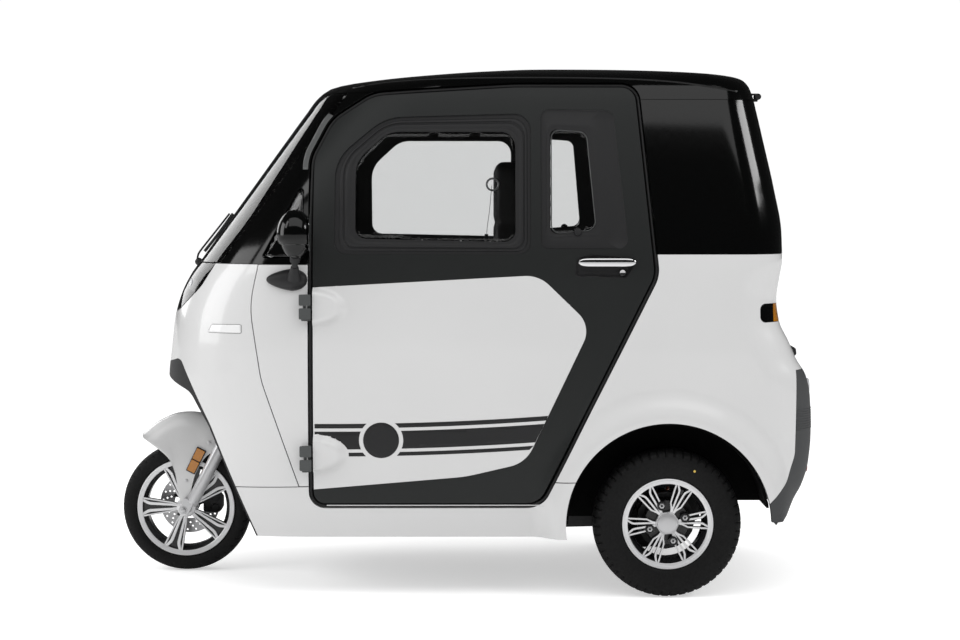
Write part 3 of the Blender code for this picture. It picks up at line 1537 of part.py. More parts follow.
def make_mirrors():
    """Door mirrors: a foot on the side cowl, a stem and an egg-shaped head."""
    mirror = ball((-0.520, -0.532, 0.976), (0.058, 0.034, 0.032), rings=6, sides=12)
    cut(mirror, body_solid(-TOUCH))
    join(
        mirror,
        rod((-0.500, -0.552, 0.978), (-0.492, -0.600, 1.070), 0.014, sides=12),
        ball((-0.492, -0.622, 1.122), (0.050, 0.058, 0.073), rings=8, sides=14),
    )
    publish_pair(mirror, "mirror", "black_paint")


clear_scene()
PARTS = new_collection("enclosed_mobility_scooter")
CUTTERS = new_collection("cutters")

SKIN = body_shell(0.0, WALL)
FLARE = arch_flare()
join(SKIN, mirrored(FLARE), FLARE)
GLASS = body_shell(GLASS_DEPTH, GLASS_DEPTH + GLASS_THICKNESS)
INNER = body_solid(WALL + TOUCH)

make_nose_cowl(SKIN)
make_headlamp_band(SKIN)
make_side_cowls(SKIN)
make_sills(SKIN)
make_quarter_panels(SKIN)
make_upper_quarters(SKIN)
make_a_pillars(SKIN)
make_roof(SKIN)
make_tail_panel(SKIN)
make_bumper(SKIN)
make_tail_lamps(SKIN)
make_windscreen()
make_quarter_glasses(GLASS)
make_door_posts(INNER)
make_doors(SKIN, GLASS)
make_hatch(SKIN, GLASS)
make_floor(INNER)
make_dashboard(INNER)
make_rear_tub(INNER)
make_seat()
make_frame()
make_rear_axle()
make_shocks()
make_wheel_liners()
make_fork()
make_front_fender()
make_handlebar()
make_front_wheel()
make_rear_wheels()
make_wiper()
make_mirrors()

for scratch in (SKIN, GLASS, INNER):
    bpy.data.objects.remove(scratch, do_unlink=True)
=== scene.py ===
"""Looks of the enclosed mobility scooter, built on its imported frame.

Metres, +Z up. The front points along -X and the vehicle's left side along -Y.
"""
import math

import bmesh
import bpy
import numpy as np
from mathutils import Matrix, Vector
from mathutils.geometry import delaunay_2d_cdt


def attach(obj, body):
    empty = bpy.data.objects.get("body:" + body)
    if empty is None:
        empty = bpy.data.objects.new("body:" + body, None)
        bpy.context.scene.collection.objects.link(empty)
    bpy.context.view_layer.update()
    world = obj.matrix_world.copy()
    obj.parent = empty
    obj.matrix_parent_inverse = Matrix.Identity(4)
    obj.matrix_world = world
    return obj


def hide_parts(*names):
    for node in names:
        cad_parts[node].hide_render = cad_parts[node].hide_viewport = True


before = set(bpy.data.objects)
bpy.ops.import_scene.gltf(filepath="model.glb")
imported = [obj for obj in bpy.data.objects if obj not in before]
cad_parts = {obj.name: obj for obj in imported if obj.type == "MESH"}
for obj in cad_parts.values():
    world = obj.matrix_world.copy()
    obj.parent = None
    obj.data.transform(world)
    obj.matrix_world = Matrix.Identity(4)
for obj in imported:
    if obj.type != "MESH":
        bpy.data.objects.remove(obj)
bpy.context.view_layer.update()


# Materials. Each has its own fine noise in object coordinates, which varies its
# roughness, tint and surface at the scale that the real finish shows.

def node_of(tree, kind, **inputs):
    """A shader node with some of its inputs set."""
    made = tree.nodes.new(kind)
    for name, value in inputs.items():
        made.inputs[name.replace("_", " ")].default_value = value
    return made


def noise(tree, scale, detail=3.0):
    """Noise in object coordinates."""
    place = tree.nodes.new("ShaderNodeTexCoord")
    texture = node_of(tree, "ShaderNodeTexNoise", Scale=scale, Detail=detail, Roughness=0.55)
    tree.links.new(place.outputs["Object"], texture.inputs["Vector"])
    return texture.outputs["Fac"]

def spread(tree, source, low, high):
    """A noise value spread over a range."""
    ranger = node_of(tree, "ShaderNodeMapRange", From_Min=0.3, From_Max=0.7, To_Min=low, To_Max=high)
    tree.links.new(source, ranger.inputs["Value"])
    return ranger.outputs["Result"]


def surface_material(name, colour, roughness, metallic=0.0, coat=0.0, grain=60.0, depth=0.0, vary=0.05,
                     tint=0.06, specular=0.5):
    """A Principled material whose roughness, tint and bump vary with noise."""
    made = bpy.data.materials.new(name)
    made.use_nodes = True
    tree = made.node_tree
    shader = tree.nodes["Principled BSDF"]
    shader.inputs["Metallic"].default_value = metallic
    shader.inputs["Specular IOR Level"].default_value = specular
    shader.inputs["Coat Weight"].default_value = coat
    shader.inputs["Coat Roughness"].default_value = 0.03
    fine = noise(tree, grain)
    wide = noise(tree, 2.5, detail=2.0)
    low, high = max(0.0, roughness - vary), min(1.0, roughness + vary)
    tree.links.new(spread(tree, fine, low, high), shader.inputs["Roughness"])
    mix = tree.nodes.new("ShaderNodeMix")
    mix.data_type = "RGBA"
    mix.inputs["A"].default_value = (*[c * (1 - tint) for c in colour], 1.0)
    mix.inputs["B"].default_value = (*[min(1.0, c * (1 + tint)) for c in colour], 1.0)
    tree.links.new(spread(tree, wide, 0.0, 1.0), mix.inputs["Factor"])
    tree.links.new(mix.outputs["Result"], shader.inputs["Base Color"])
    if depth > 0:
        bump = node_of(tree, "ShaderNodeBump", Strength=1.0, Distance=depth)
        tree.links.new(fine, bump.inputs["Height"])
        tree.links.new(bump.outputs["Normal"], shader.inputs["Normal"])
    made.diffuse_color = (*colour, 1.0)
    return made


def pane_material(name, tint):
    """Thin tinted glass: what lies behind shows through a tint, and the surface mirrors at a slant."""
    made = bpy.data.materials.new(name)
    made.use_nodes = True
    tree = made.node_tree
    tree.nodes.remove(tree.nodes["Principled BSDF"])
    clear = node_of(tree, "ShaderNodeBsdfTransparent", Color=(*tint, 1.0))
    gloss = node_of(tree, "ShaderNodeBsdfGlossy", Color=(1.0, 1.0, 1.0, 1.0))
    fine = noise(tree, 3.0, detail=2.0)
    tree.links.new(spread(tree, fine, 0.012, 0.028), gloss.inputs["Roughness"])
    slant = node_of(tree, "ShaderNodeFresnel", IOR=1.45)
    mix = tree.nodes.new("ShaderNodeMixShader")
    tree.links.new(slant.outputs["Fac"], mix.inputs["Fac"])
    tree.links.new(clear.outputs["BSDF"], mix.inputs[1])
    tree.links.new(gloss.outputs["BSDF"], mix.inputs[2])
    tree.links.new(mix.outputs["Shader"], tree.nodes["Material Output"].inputs["Surface"])
    made.diffuse_color = (*tint, 0.4)
    return made


WHITE = surface_material("white_gloss", (0.68, 0.68, 0.68), 0.22, coat=0.5, grain=220, depth=0.00002,
                         vary=0.04, tint=0.012)
BLACK = surface_material("black_gloss", (0.0012, 0.0013, 0.0013), 0.1, grain=220, depth=0.00002,
                         vary=0.03)
ANTHRACITE = surface_material("anthracite_satin", (0.0115, 0.013, 0.0128), 0.45, grain=900, depth=0.00004,
                              vary=0.06, specular=0.35)
BUMPER = surface_material("bumper_grained", (0.052, 0.054, 0.056), 0.62, grain=700, depth=0.00008,
                          vary=0.08)
TRIM = surface_material("trim_black", (0.01, 0.01, 0.011), 0.55, grain=600, depth=0.00006, vary=0.08)
RUBBER = surface_material("seal_rubber", (0.006, 0.006, 0.0064), 0.5, grain=400, depth=0.00005, vary=0.1)
TYRE = surface_material("tyre_rubber_worn", (0.004, 0.004, 0.0042), 0.66, grain=160, depth=0.00012,
                        vary=0.1, tint=0.25, specular=0.28)
LINING = surface_material("cabin_lining", (0.02, 0.02, 0.021), 0.7, grain=500, depth=0.0001, vary=0.1)
STEEL = surface_material("satin_steel", (0.6, 0.6, 0.61), 0.28, metallic=0.5, grain=40, vary=0.003,
                         tint=0.005)
MACHINED = surface_material("machined_alloy", (0.8, 0.8, 0.81), 0.3, metallic=0.45, grain=500, vary=0.02,
                            tint=0.02)
DARK_ALLOY = surface_material("dark_alloy", (0.012, 0.012, 0.013), 0.3, metallic=0.2, coat=0.3, grain=200)
CHROME = surface_material("bright_chrome", (0.86, 0.86, 0.87), 0.06, metallic=1.0, grain=50, vary=0.02)
BLACK_STEEL = surface_material("frame_paint", (0.013, 0.013, 0.014), 0.45, metallic=0.2, grain=300,
                               depth=0.00005, vary=0.12)
ORANGE = surface_material("spring_orange", (0.62, 0.15, 0.02), 0.35, coat=0.3, grain=200, vary=0.06)
HINGE_GREY = surface_material("hinge_grey", (0.085, 0.09, 0.09), 0.45, metallic=0.3, grain=400,
                              depth=0.00004, vary=0.08)
SATIN = surface_material("satin_strip", (0.105, 0.108, 0.108), 0.4, metallic=0.3, grain=500, vary=0.05)
LEATHER = surface_material("seat_leather", (0.0075, 0.0075, 0.008), 0.52, grain=420, depth=0.00022,
                           vary=0.12)
AMBER = surface_material("amber_reflector", (0.46, 0.165, 0.001), 0.18, coat=1.0, grain=700, depth=0.0002,
                         vary=0.05)
LINER = surface_material("liner_black", (0.0016, 0.0016, 0.0017), 0.8, grain=300, vary=0.1, specular=0.12)
RED = surface_material("red_lens", (0.3, 0.008, 0.006), 0.12, coat=1.0, grain=600, depth=0.0002, vary=0.05)
LAMP_CLEAR = surface_material("side_lamp_lens", (0.86, 0.86, 0.86), 0.1, coat=1.0, grain=500, depth=0.0001,
                              vary=0.04, tint=0.02)
WINDOW = pane_material("window_pane", (0.912, 0.915, 0.915))
SCREEN = pane_material("screen_pane", (0.9, 0.905, 0.905))
SMOKED = pane_material("smoked_lens", (0.52, 0.52, 0.53))


# The cabin's outer form. A point of it is named by u, the way round from the nose's
# middle to the tail's middle, and v, the way up; both are close to metres.

LEVELS = np.array((
    (0.187, -0.900, 0.960, 0.503, 0.470, 0.100),
    (0.280, -0.930, 1.052, 0.521, 0.490, 0.125),
    (0.340, -0.940, 1.090, 0.529, 0.500, 0.140),
    (0.410, -0.948, 1.110, 0.535, 0.505, 0.150),
    (0.500, -0.950, 1.117, 0.541, 0.510, 0.155),
    (0.610, -0.949, 1.113, 0.545, 0.510, 0.155),
    (0.680, -0.946, 1.098, 0.546, 0.508, 0.150),
    (0.730, -0.940, 1.068, 0.546, 0.505, 0.150),
    (0.785, -0.934, 1.044, 0.545, 0.500, 0.150),
    (0.850, -0.926, 1.014, 0.543, 0.500, 0.150),
    (0.920, -0.906, 1.006, 0.540, 0.490, 0.150),
    (0.985, -0.874, 1.015, 0.537, 0.470, 0.150),
    (1.040, -0.834, 1.024, 0.532, 0.440, 0.150),
    (1.125, -0.772, 1.022, 0.519, 0.400, 0.145),
    (1.260, -0.674, 1.000, 0.496, 0.380, 0.140),
    (1.400, -0.573, 0.970, 0.471, 0.370, 0.135),
    (1.500, -0.500, 0.948, 0.451, 0.370, 0.130),
    (1.550, -0.462, 0.936, 0.438, 0.370, 0.125),
    (1.580, -0.420, 0.924, 0.424, 0.370, 0.120),
    (1.602, -0.300, 0.902, 0.402, 0.360, 0.115),
    (1.618, -0.150, 0.830, 0.368, 0.350, 0.110),
    (1.630, 0.000, 0.660, 0.310, 0.300, 0.100),
    (1.638, 0.150, 0.460, 0.200, 0.150, 0.080),
    (1.638, 0.290, 0.320, 0.012, 0.012, 0.008),
))
FRONT_POWER = 2.6
REAR_BOW = 0.017
REAR_TAPER = 0.01
U_MARKS = (0.83, 2.21, 2.45, 2.83)
U_END = U_MARKS[-1]
ARCH_CENTRE = (0.643, 0.229)
ARCH_RADIUS = 0.315
ARCH_Y = 0.5645


def level_places():
    """Way up of each level: the length of the form's section between the levels."""
    steps = np.diff(LEVELS, axis=0)
    lengths = np.sqrt(steps[:, 0] ** 2 + steps[:, 3] ** 2 + (0.5 * steps[:, 1]) ** 2)
    return np.concatenate([[0.0], np.cumsum(lengths)])


def monotone_slopes(places, table):
    """Slopes of a cubic through each column that never swings past its points."""
    gaps = np.diff(places)[:, None]
    rises = np.diff(table, axis=0) / gaps
    first, second = 2 * gaps[1:] + gaps[:-1], gaps[1:] + 2 * gaps[:-1]
    same = rises[:-1] * rises[1:] > 0
    safe_low = np.where(same, rises[:-1], 1.0)
    safe_high = np.where(same, rises[1:], 1.0)
    inner = np.where(same, (first + second) / (first / safe_low + second / safe_high), 0.0)
    return np.vstack([rises[:1], inner, rises[-1:]])


PLACES = level_places()
SLOPES = monotone_slopes(PLACES, LEVELS)


def level_at(v):
    """Height, foremost x, rearmost x, half width, front rounding and corner radius at a way up."""
    v = np.clip(v, 0.0, PLACES[-1])
    index = np.clip(np.searchsorted(PLACES, v, side="right") - 1, 0, len(PLACES) - 2)
    gap = (PLACES[index + 1] - PLACES[index])[:, None]
    t = ((v - PLACES[index])[:, None]) / gap
    a, b, p, q = LEVELS[index], LEVELS[index + 1], SLOPES[index] * gap, SLOPES[index + 1] * gap
    value = (a * (1 + 2 * t) * (1 - t) ** 2 + b * t ** 2 * (3 - 2 * t) + p * t * (1 - t) ** 2
             - q * t ** 2 * (1 - t))
    return value.T


def ring_values(v):
    """What a level's ring needs besides: shoulder, corner middle, bow half width and corner sweep."""
    height, front, rear, half_width, rounding, corner = level_at(v)
    side_end = half_width - REAR_TAPER * np.minimum(1.0, half_width / 0.2)
    bow = np.minimum(REAR_BOW, side_end * 0.05)
    lean = np.arctan2(2 * bow, side_end - 0.4 * corner)
    sweep = math.pi / 2 - lean
    corner_y = side_end - corner
    bow_width = corner_y + corner * np.cos(sweep)
    corner_x = rear - bow - corner * np.sin(sweep)
    return (height, front, rear, half_width, rounding, corner, side_end, bow, sweep, corner_y, bow_width,
            corner_x)


def arch_push(x, z):
    """How far, from 0 to 1, the skin is drawn out to the arch's lip: a smooth fade with the distance."""
    reach = np.hypot(x - ARCH_CENTRE[0], z - ARCH_CENTRE[1])
    t = np.clip((0.418 - reach) / (0.418 - 0.332), 0.0, 1.0)
    return t * t * (3 - 2 * t)


def form(u, v, side):
    """Point of the form: a rounded front, a straight side, a round corner and a bowed tail at each height."""
    (height, front, rear, half_width, rounding, corner, side_end, bow, sweep, corner_y, bow_width,
     corner_x) = ring_values(v)
    shoulder = front + rounding
    power = 2 / FRONT_POWER
    a = np.clip(u / U_MARKS[0], 0, 1) * math.pi / 2
    b = np.clip((u - U_MARKS[0]) / (U_MARKS[1] - U_MARKS[0]), 0, 1)
    c = np.clip((u - U_MARKS[1]) / (U_MARKS[2] - U_MARKS[1]), 0, 1) * sweep
    d = np.clip((u - U_MARKS[2]) / (U_MARKS[3] - U_MARKS[2]), 0, 1)
    x1 = shoulder - rounding * np.maximum(0, np.cos(a)) ** power
    y1 = half_width * np.sin(a) ** power
    x2 = shoulder + (corner_x - shoulder) * b
    y2 = half_width - (half_width - side_end) * b ** 2
    x3 = corner_x + corner * np.sin(c)
    y3 = corner_y + corner * np.cos(c)
    y4 = bow_width * (1 - d)
    x4 = rear - bow * (1 - d) ** 2
    zone = np.searchsorted(np.array(U_MARKS[:3]), u, side="left")
    x = np.choose(zone, [x1, x2, x3, x4])
    y = np.choose(zone, [y1, y2, y3, y4])
    push = arch_push(x, height) * (y > 0.4)
    y = y + (ARCH_Y - y) * push
    return np.stack([x, y * side, height], axis=-1)


def up_of(z):
    """The way up to a height; what is over the roof lies past the form's top."""
    fine = np.linspace(0, PLACES[-2], 4000)
    return np.where(z > 1.6381, PLACES[-1] + 0.01, np.interp(z, level_at(fine)[0], fine))


def round_of_x(x, v):
    """The way round to an x at a way up."""
    (_, front, rear, _, rounding, corner, _, bow, sweep, _, _, corner_x) = ring_values(v)
    shoulder = front + rounding
    share = np.clip((shoulder - x) / rounding, 0, 1) ** (FRONT_POWER / 2)
    u1 = np.arccos(share) / (math.pi / 2) * U_MARKS[0]
    u2 = U_MARKS[0] + np.clip((x - shoulder) / (corner_x - shoulder), 0, 1) * (U_MARKS[1] - U_MARKS[0])
    turn = np.arcsin(np.clip((x - corner_x) / corner, 0, 1))
    u3 = U_MARKS[1] + np.clip(turn / sweep, 0, 1) * (U_MARKS[2] - U_MARKS[1])
    u4 = U_END - np.sqrt(np.clip((rear - x) / bow, 0, 1)) * (U_MARKS[3] - U_MARKS[2])
    corner_end = corner_x + corner * np.sin(sweep)
    return np.where(x < shoulder, u1, np.where(x < corner_x, u2, np.where(x < corner_end, u3, u4)))


def round_of_y(y, v):
    """The way round to a y on the tail at a way up."""
    (_, _, _, _, _, corner, _, _, sweep, corner_y, bow_width, _) = ring_values(v)
    y = np.abs(y)
    u4 = U_END - np.clip(y / bow_width, 0, 1) * (U_MARKS[3] - U_MARKS[2])
    turn = np.arccos(np.clip((y - corner_y) / corner, 0, 1))
    u3 = U_MARKS[1] + np.clip(turn / sweep, 0, 1) * (U_MARKS[2] - U_MARKS[1])
    return np.where(y <= bow_width, u4, u3)


# Outlines in side view are corners (x, z, radius), as on the CAD model. They are
# rounded, sampled finely and laid on the form as closed loops of (u, v).

ARC_STEP = math.radians(4)
SAMPLE = 0.006


def corner_arc(corners, index):
    """The middle, first spoke and sweep of the arc that rounds a corner of an outline."""
    here, radius = Vector(corners[index][:2]), corners[index][2]
    before = (Vector(corners[index - 1][:2]) - here).normalized()
    after = (Vector(corners[(index + 1) % len(corners)][:2]) - here).normalized()
    half = before.angle(after) / 2
    centre = here + (before + after).normalized() * (radius / math.sin(half))
    first = here + before * (radius / math.tan(half)) - centre
    sweep = math.pi - 2 * half
    if before.x * after.y - before.y * after.x > 0:
        sweep = -sweep
    return centre, first, sweep

def rounded(corners, closed=True):
    """Points of an outline whose corners become arcs of their radius."""
    points = []
    for index, (u, v, radius) in enumerate(corners):
        if radius <= 0 or (not closed and index in (0, len(corners) - 1)):
            points.append((u, v))
            continue
        centre, first, sweep = corner_arc(corners, index)
        steps = max(2, math.ceil(abs(sweep) / ARC_STEP))
        for angle in np.linspace(0, sweep, steps + 1):
            points.append(tuple(centre + Matrix.Rotation(angle, 2) @ first))
    return np.array(points)

def grown(corners, distance):
    """A closed outline's corners, run anticlockwise, moved outwards by one distance."""
    result = []
    for index, (u, v, radius) in enumerate(corners):
        here = Vector((u, v))
        before = (here - Vector(corners[index - 1][:2])).normalized()
        after = (Vector(corners[(index + 1) % len(corners)][:2]) - here).normalized()
        out_before = Vector((before.y, -before.x))
        bisector = (out_before + Vector((after.y, -after.x))).normalized()
        shift = bisector * (distance / bisector.dot(out_before))
        turning = before.x * after.y - before.y * after.x
        new_radius = max(0.0005, radius + math.copysign(distance, turning)) if radius > 0 else 0.0
        result.append((u + shift.x, v + shift.y, new_radius))
    return tuple(result)


def sampled(points, step=SAMPLE, closed=True):
    """A line of points with no stretch longer than a step."""
    points = np.asarray(points, float)
    ends = np.roll(points, -1, axis=0) if closed else points[1:]
    starts = points if closed else points[:-1]
    counts = np.maximum(1, np.ceil(np.linalg.norm(ends - starts, axis=1) / step).astype(int))
    rows = np.repeat(np.arange(len(starts)), counts)
    share = (np.arange(counts.sum()) - np.repeat(np.cumsum(counts) - counts, counts)) / counts[rows]
    line = starts[rows] + (ends[rows] - starts[rows]) * share[:, None]
    return line if closed else np.vstack([line, points[-1:]])


def seen_from_side(points, closed=True):
    """Loop on the form of an outline in side view."""
    line = sampled(points, closed=closed)
    v = up_of(line[:, 1])
    return np.stack([round_of_x(line[:, 0], v), v], axis=1)


def seen_from_behind(points, closed=True):
    """Loop on the form of the left half of an outline of (y, z) seen from behind."""
    line = sampled(points, closed=closed)
    v = up_of(line[:, 1])
    return np.stack([round_of_y(np.minimum(line[:, 0], 0.0), v), v], axis=1)


def clean_loop(loop):
    """A loop without points that repeat."""
    gap = np.linalg.norm(loop - np.roll(loop, 1, axis=0), axis=1)
    return loop[gap > 1e-6]


def inside(points, loop):
    """Whether each point lies inside a closed loop, by the crossings of a ray."""
    x, y = points[:, 0][:, None], points[:, 1][:, None]
    ends = np.roll(loop, -1, axis=0)
    low, high = loop[:, 1][None], ends[:, 1][None]
    crosses = (low > y) != (high > y)
    rise = np.where(high == low, 1.0, high - low)
    at = loop[:, 0][None] + (y - low) / rise * (ends[:, 0] - loop[:, 0])[None]
    return (np.sum(crosses & (x < at), axis=1) % 2) == 1


def filled(loops, spots, wanted):
    """Triangles between loops and loose spots, as far as their middles are wanted."""
    edges, base = [], 0
    for loop in loops:
        count = len(loop)
        edges += [(base + k, base + (k + 1) % count) for k in range(count)]
        base += count
    points = [Vector(point) for point in np.concatenate(loops + spots)]
    made = delaunay_2d_cdt(points, edges, [], 0, 1e-7)
    places = np.array([tuple(place) for place in made[0]])
    faces = np.array([tuple(face) for face in made[2]])
    return places, faces[wanted(places[faces].mean(axis=1))]

def region(keep, cut, spacing, chart):
    """Triangles over what lies inside every kept loop and outside every cut one."""
    mirror = chart != "left"

    def charted(loop):
        u = loop[:, 0] if chart != "rear" else U_END - loop[:, 0]
        return np.stack([u, loop[:, 1]], axis=1)

    keep = [clean_loop(charted(loop)) for loop in keep]
    cut = [clean_loop(charted(loop)) for loop in cut]

    def wanted(points):
        folded = np.stack([np.abs(points[:, 0]), points[:, 1]], axis=1) if mirror else points
        result = np.ones(len(points), bool)
        for loop in keep:
            result &= inside(folded, loop)
        for loop in cut:
            result &= ~inside(folded, loop)
        return result

    loops = keep + cut
    if mirror:
        loops = loops + [loop * (-1, 1) for loop in loops]
    low = np.max([loop.min(0) for loop in keep], axis=0)
    high = np.min([loop.max(0) for loop in keep], axis=0)
    if mirror:
        low[0] = -high[0]
    rows = np.arange(low[1], high[1] + spacing, spacing * 0.866)
    columns = np.arange(low[0] - spacing, high[0] + spacing, spacing)
    grid_u, grid_v = np.meshgrid(columns, rows)
    grid_u = grid_u + (np.arange(len(rows)) % 2)[:, None] * spacing / 2
    grid = np.stack([grid_u.ravel(), grid_v.ravel()], axis=1)
    grid = grid[wanted(grid)]
    border = np.concatenate(loops)
    near = np.zeros(len(grid), bool)
    for start in range(0, len(grid), 2000):
        block = grid[start:start + 2000]
        gap = np.min(np.sum((block[:, None] - border[None]) ** 2, axis=2), axis=1)
        near[start:start + 2000] = gap < (0.45 * spacing) ** 2
    grid = grid[~near]
    spots, faces = filled(loops, [grid], wanted)
    used, faces = np.unique(faces, return_inverse=True)
    return spots[used], faces.reshape(-1, 3)


def on_form(spots, chart):
    """The form's points for spots of a chart; the left chart is the left side alone."""
    if chart == "left":
        u, side = spots[:, 0], -1.0
    elif chart == "front":
        u, side = np.abs(spots[:, 0]), np.where(spots[:, 0] < 0, -1.0, 1.0)
    else:
        u, side = U_END - np.abs(spots[:, 0]), np.where(spots[:, 0] < 0, -1.0, 1.0)
    return form(u, spots[:, 1], side)


def mesh_piece(name, points, faces, material, smooth=True):
    """An object from arrays of points and faces, not yet on any body."""
    mesh = bpy.data.meshes.new(name)
    mesh.from_pydata(np.asarray(points).tolist(), [], np.asarray(faces).tolist())
    mesh.materials.append(material)
    mesh.update()
    piece = bpy.data.objects.new(name, mesh)
    bpy.context.scene.collection.objects.link(piece)
    if smooth:
        mesh.shade_smooth()
    return piece


def facing_out(points, faces, centre=(0.05, 0.0, 0.75)):
    """Faces turned so that they look away from a centre on the whole."""
    corners = points[faces]
    normal = np.cross(corners[:, 1] - corners[:, 0], corners[:, 2] - corners[:, 0])
    away = np.einsum("ij,ij->i", normal, corners.mean(axis=1) - np.array(centre))
    return faces[:, ::-1] if away.sum() < 0 else faces


def placed(piece, body, slot, *nodes):
    """The piece rides on a body and stands for CAD nodes, which it hides; the slot is not used."""
    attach(piece, body)
    if nodes:
        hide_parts(*nodes)
    return piece


def edged(piece, width, angle):
    """The piece with its sharp edges rounded."""
    bevel = piece.modifiers.new("Edges", "BEVEL")
    bevel.width = width
    bevel.segments = 2
    bevel.limit_method = "ANGLE"
    bevel.angle_limit = math.radians(angle)
    bevel.harden_normals = True
    return piece

def thickened(piece, thickness, inner, edge=0.0016):
    """A wall inwards of a skin piece, lined with an inner material, with its edges rounded."""
    piece.data.materials.append(inner)
    wall = piece.modifiers.new("Wall", "SOLIDIFY")
    wall.thickness = thickness
    wall.offset = -1.0
    wall.use_even_offset = True
    wall.material_offset = 1
    wall.material_offset_rim = 0
    return edged(piece, edge, 40) if edge > 0 else piece

def mirrored_mesh(piece, name):
    """A copy of a piece on the other side of the vehicle, with its modifiers."""
    twin = piece.copy()
    twin.data = piece.data.copy()
    twin.name = name
    twin.data.transform(Matrix.Diagonal((1.0, -1.0, 1.0, 1.0)))
    twin.data.flip_normals()
    bpy.context.scene.collection.objects.link(twin)
    return twin


def both_sides(piece, body, slot, nodes=()):
    """Place a left piece and its mirror image; names and bodies end in left and right."""
    stem = piece.name
    piece.name = stem + "_left"
    twin = mirrored_mesh(piece, stem + "_right")
    for one, side in ((piece, "left"), (twin, "right")):
        placed(one, body.replace("*", side), slot, *[node.replace("*", side) for node in nodes])
    return piece, twin


def panel(name, keep, cut, material, chart="left", spacing=0.016, thickness=0.029, inner=None, shape=None,
          edge=0.0016):
    """A piece of the cabin's skin over a region of its form, with a wall behind it."""
    spots, faces = region(keep, cut, spacing, chart)
    points = on_form(spots, chart)
    if shape is not None:
        points = shape(points)
    piece = mesh_piece(name, points, facing_out(points, faces), material)
    return thickened(piece, thickness, inner=inner or LINING, edge=edge)


# Outlines of the panels and openings, the same as the CAD model's but for the nose's
# lower edge and its trim, which are curved more finely here.
BELT_FRONT_Z = 1.028
BELT_REAR_Z = 1.059
SCREEN_TOP_Z = 1.557
ROOF_SEAM_REAR_Z = 1.533
SILL_BOTTOM_Z = 0.187
FAR = 1.7
GAP = 0.0014
DOOR_GAP = 0.016
HATCH_GAP = 0.007
DOOR_FRONT_X = -0.444
DOOR_OUTLINE = (
    (DOOR_FRONT_X, 0.294, 0.035), (0.245, 0.294, 0.06), (0.598, 0.995, 0.09), (0.54, 1.57, 0.045),
    (0.17, 1.57, 0.5), (-0.262, 1.544, 0.12), (-0.385, 1.468, 0.12), (DOOR_FRONT_X, 1.352, 0.1),
)
DOOR_PANEL_OUTLINE = (
    (-0.5, 0.333, 0.0), (0.02, 0.377, 0.4), (0.205, 0.42, 0.1), (0.405, 0.84, 0.075),
    (0.245, 0.995, 0.1), (-0.5, 0.955, 0.0),
)
MAIN_WINDOW_OUTLINE = (
    (-0.318, 1.105, 0.035), (0.176, 1.095, 0.035), (0.176, 1.436, 0.045), (-0.215, 1.436, 0.09),
    (-0.318, 1.345, 0.09),
)
VENT_WINDOW_OUTLINE = (
    (0.28, 1.118, 0.02), (0.425, 1.13, 0.025), (0.396, 1.437, 0.025), (0.28, 1.445, 0.02),
)
HANDLE_OUTLINE = (
    (0.352, 0.99, 0.012), (0.515, 0.984, 0.022), (0.547, 1.045, 0.012), (0.405, 1.058, 0.015),
    (0.36, 1.046, 0.02),
)
COWL_SEAM = ((-0.614, BELT_FRONT_Z, 0.0), (-0.64, 0.9, 0.3), (-0.604, 0.673, 0.3), (-0.49, 0.345, 0.0))
QUARTER_GLASS_OUTLINE = ((-0.606, 1.046, 0.008), (-0.474, 1.046, 0.01), (-0.474, 1.298, 0.012))
SCREEN_FOOT_X, SCREEN_HEAD_X = -0.742, -0.346
HEADLAMP_EDGE = ((-1.0, 0.86, 0.0), (-0.895, 0.872, 0.06), (-0.806, 0.955, 0.15),
                 (-0.758, BELT_FRONT_Z, 0.0))
NOSE_LOWER_EDGE = ((-0.944, 0.666, 0.02), (-0.838, 0.628, 0.06), (-0.774, 0.528, 0.15),
                   (-0.626, SILL_BOTTOM_Z, 0.0))
NOSE_TRIM_EDGE = ((-0.946, 0.703, 0.0), (-0.877, 0.73, 0.02), (-0.838, 0.66, 0.06), (-0.767, 0.528, 0.12),
                  (-0.621, SILL_BOTTOM_Z, 0.0))
BUMPER_EDGE = ((0.9, 0.18, 0.0), (0.924, 0.268, 0.0), (1.01, 0.361, 0.08), (1.036, 0.44, 0.1),
               (1.04, 0.7, 0.0))
TAIL_HALF_WIDTH = 0.36
TAIL_LOW_Z = 0.7006
HATCH_LOW_Z = 1.084
HALF_HATCH = ((0.0, 1.084, 0.0), (0.0, 1.548, 0.0), (-0.33, 1.548, 0.04), (-0.4, 1.084, 0.04))
LAMP_LOW_Z = 0.85
LAMP_HIGH_Z = 0.905
LAMP_FRONT_X = 0.925


def sill_line(x):
    """Height of the seam between the sill and the panels over it."""
    return 0.339 + 0.029 * (x + 0.812) / (0.643 + 0.812)


def shifted(edge, dx, dz=0.0):
    """A seam moved along x and z."""
    return tuple((u + dx, v + dz, radius) for u, v, radius in edge)


def beyond(edge, *corners):
    """An outline whose one side is a seam and the rest far corners."""
    return np.vstack([rounded(edge, closed=False), np.array(corners)])


def circle(radius, centre=ARCH_CENTRE, count=120):
    """Points of a circle in side view."""
    turn = np.linspace(0, 2 * math.pi, count, endpoint=False)
    return np.stack([centre[0] + radius * np.cos(turn), centre[1] + radius * np.sin(turn)], axis=1)


def rectangle(low_x, low_z, high_x, high_z):
    """Corners of an upright rectangle."""
    return np.array(((low_x, low_z), (high_x, low_z), (high_x, high_z), (low_x, high_z)))


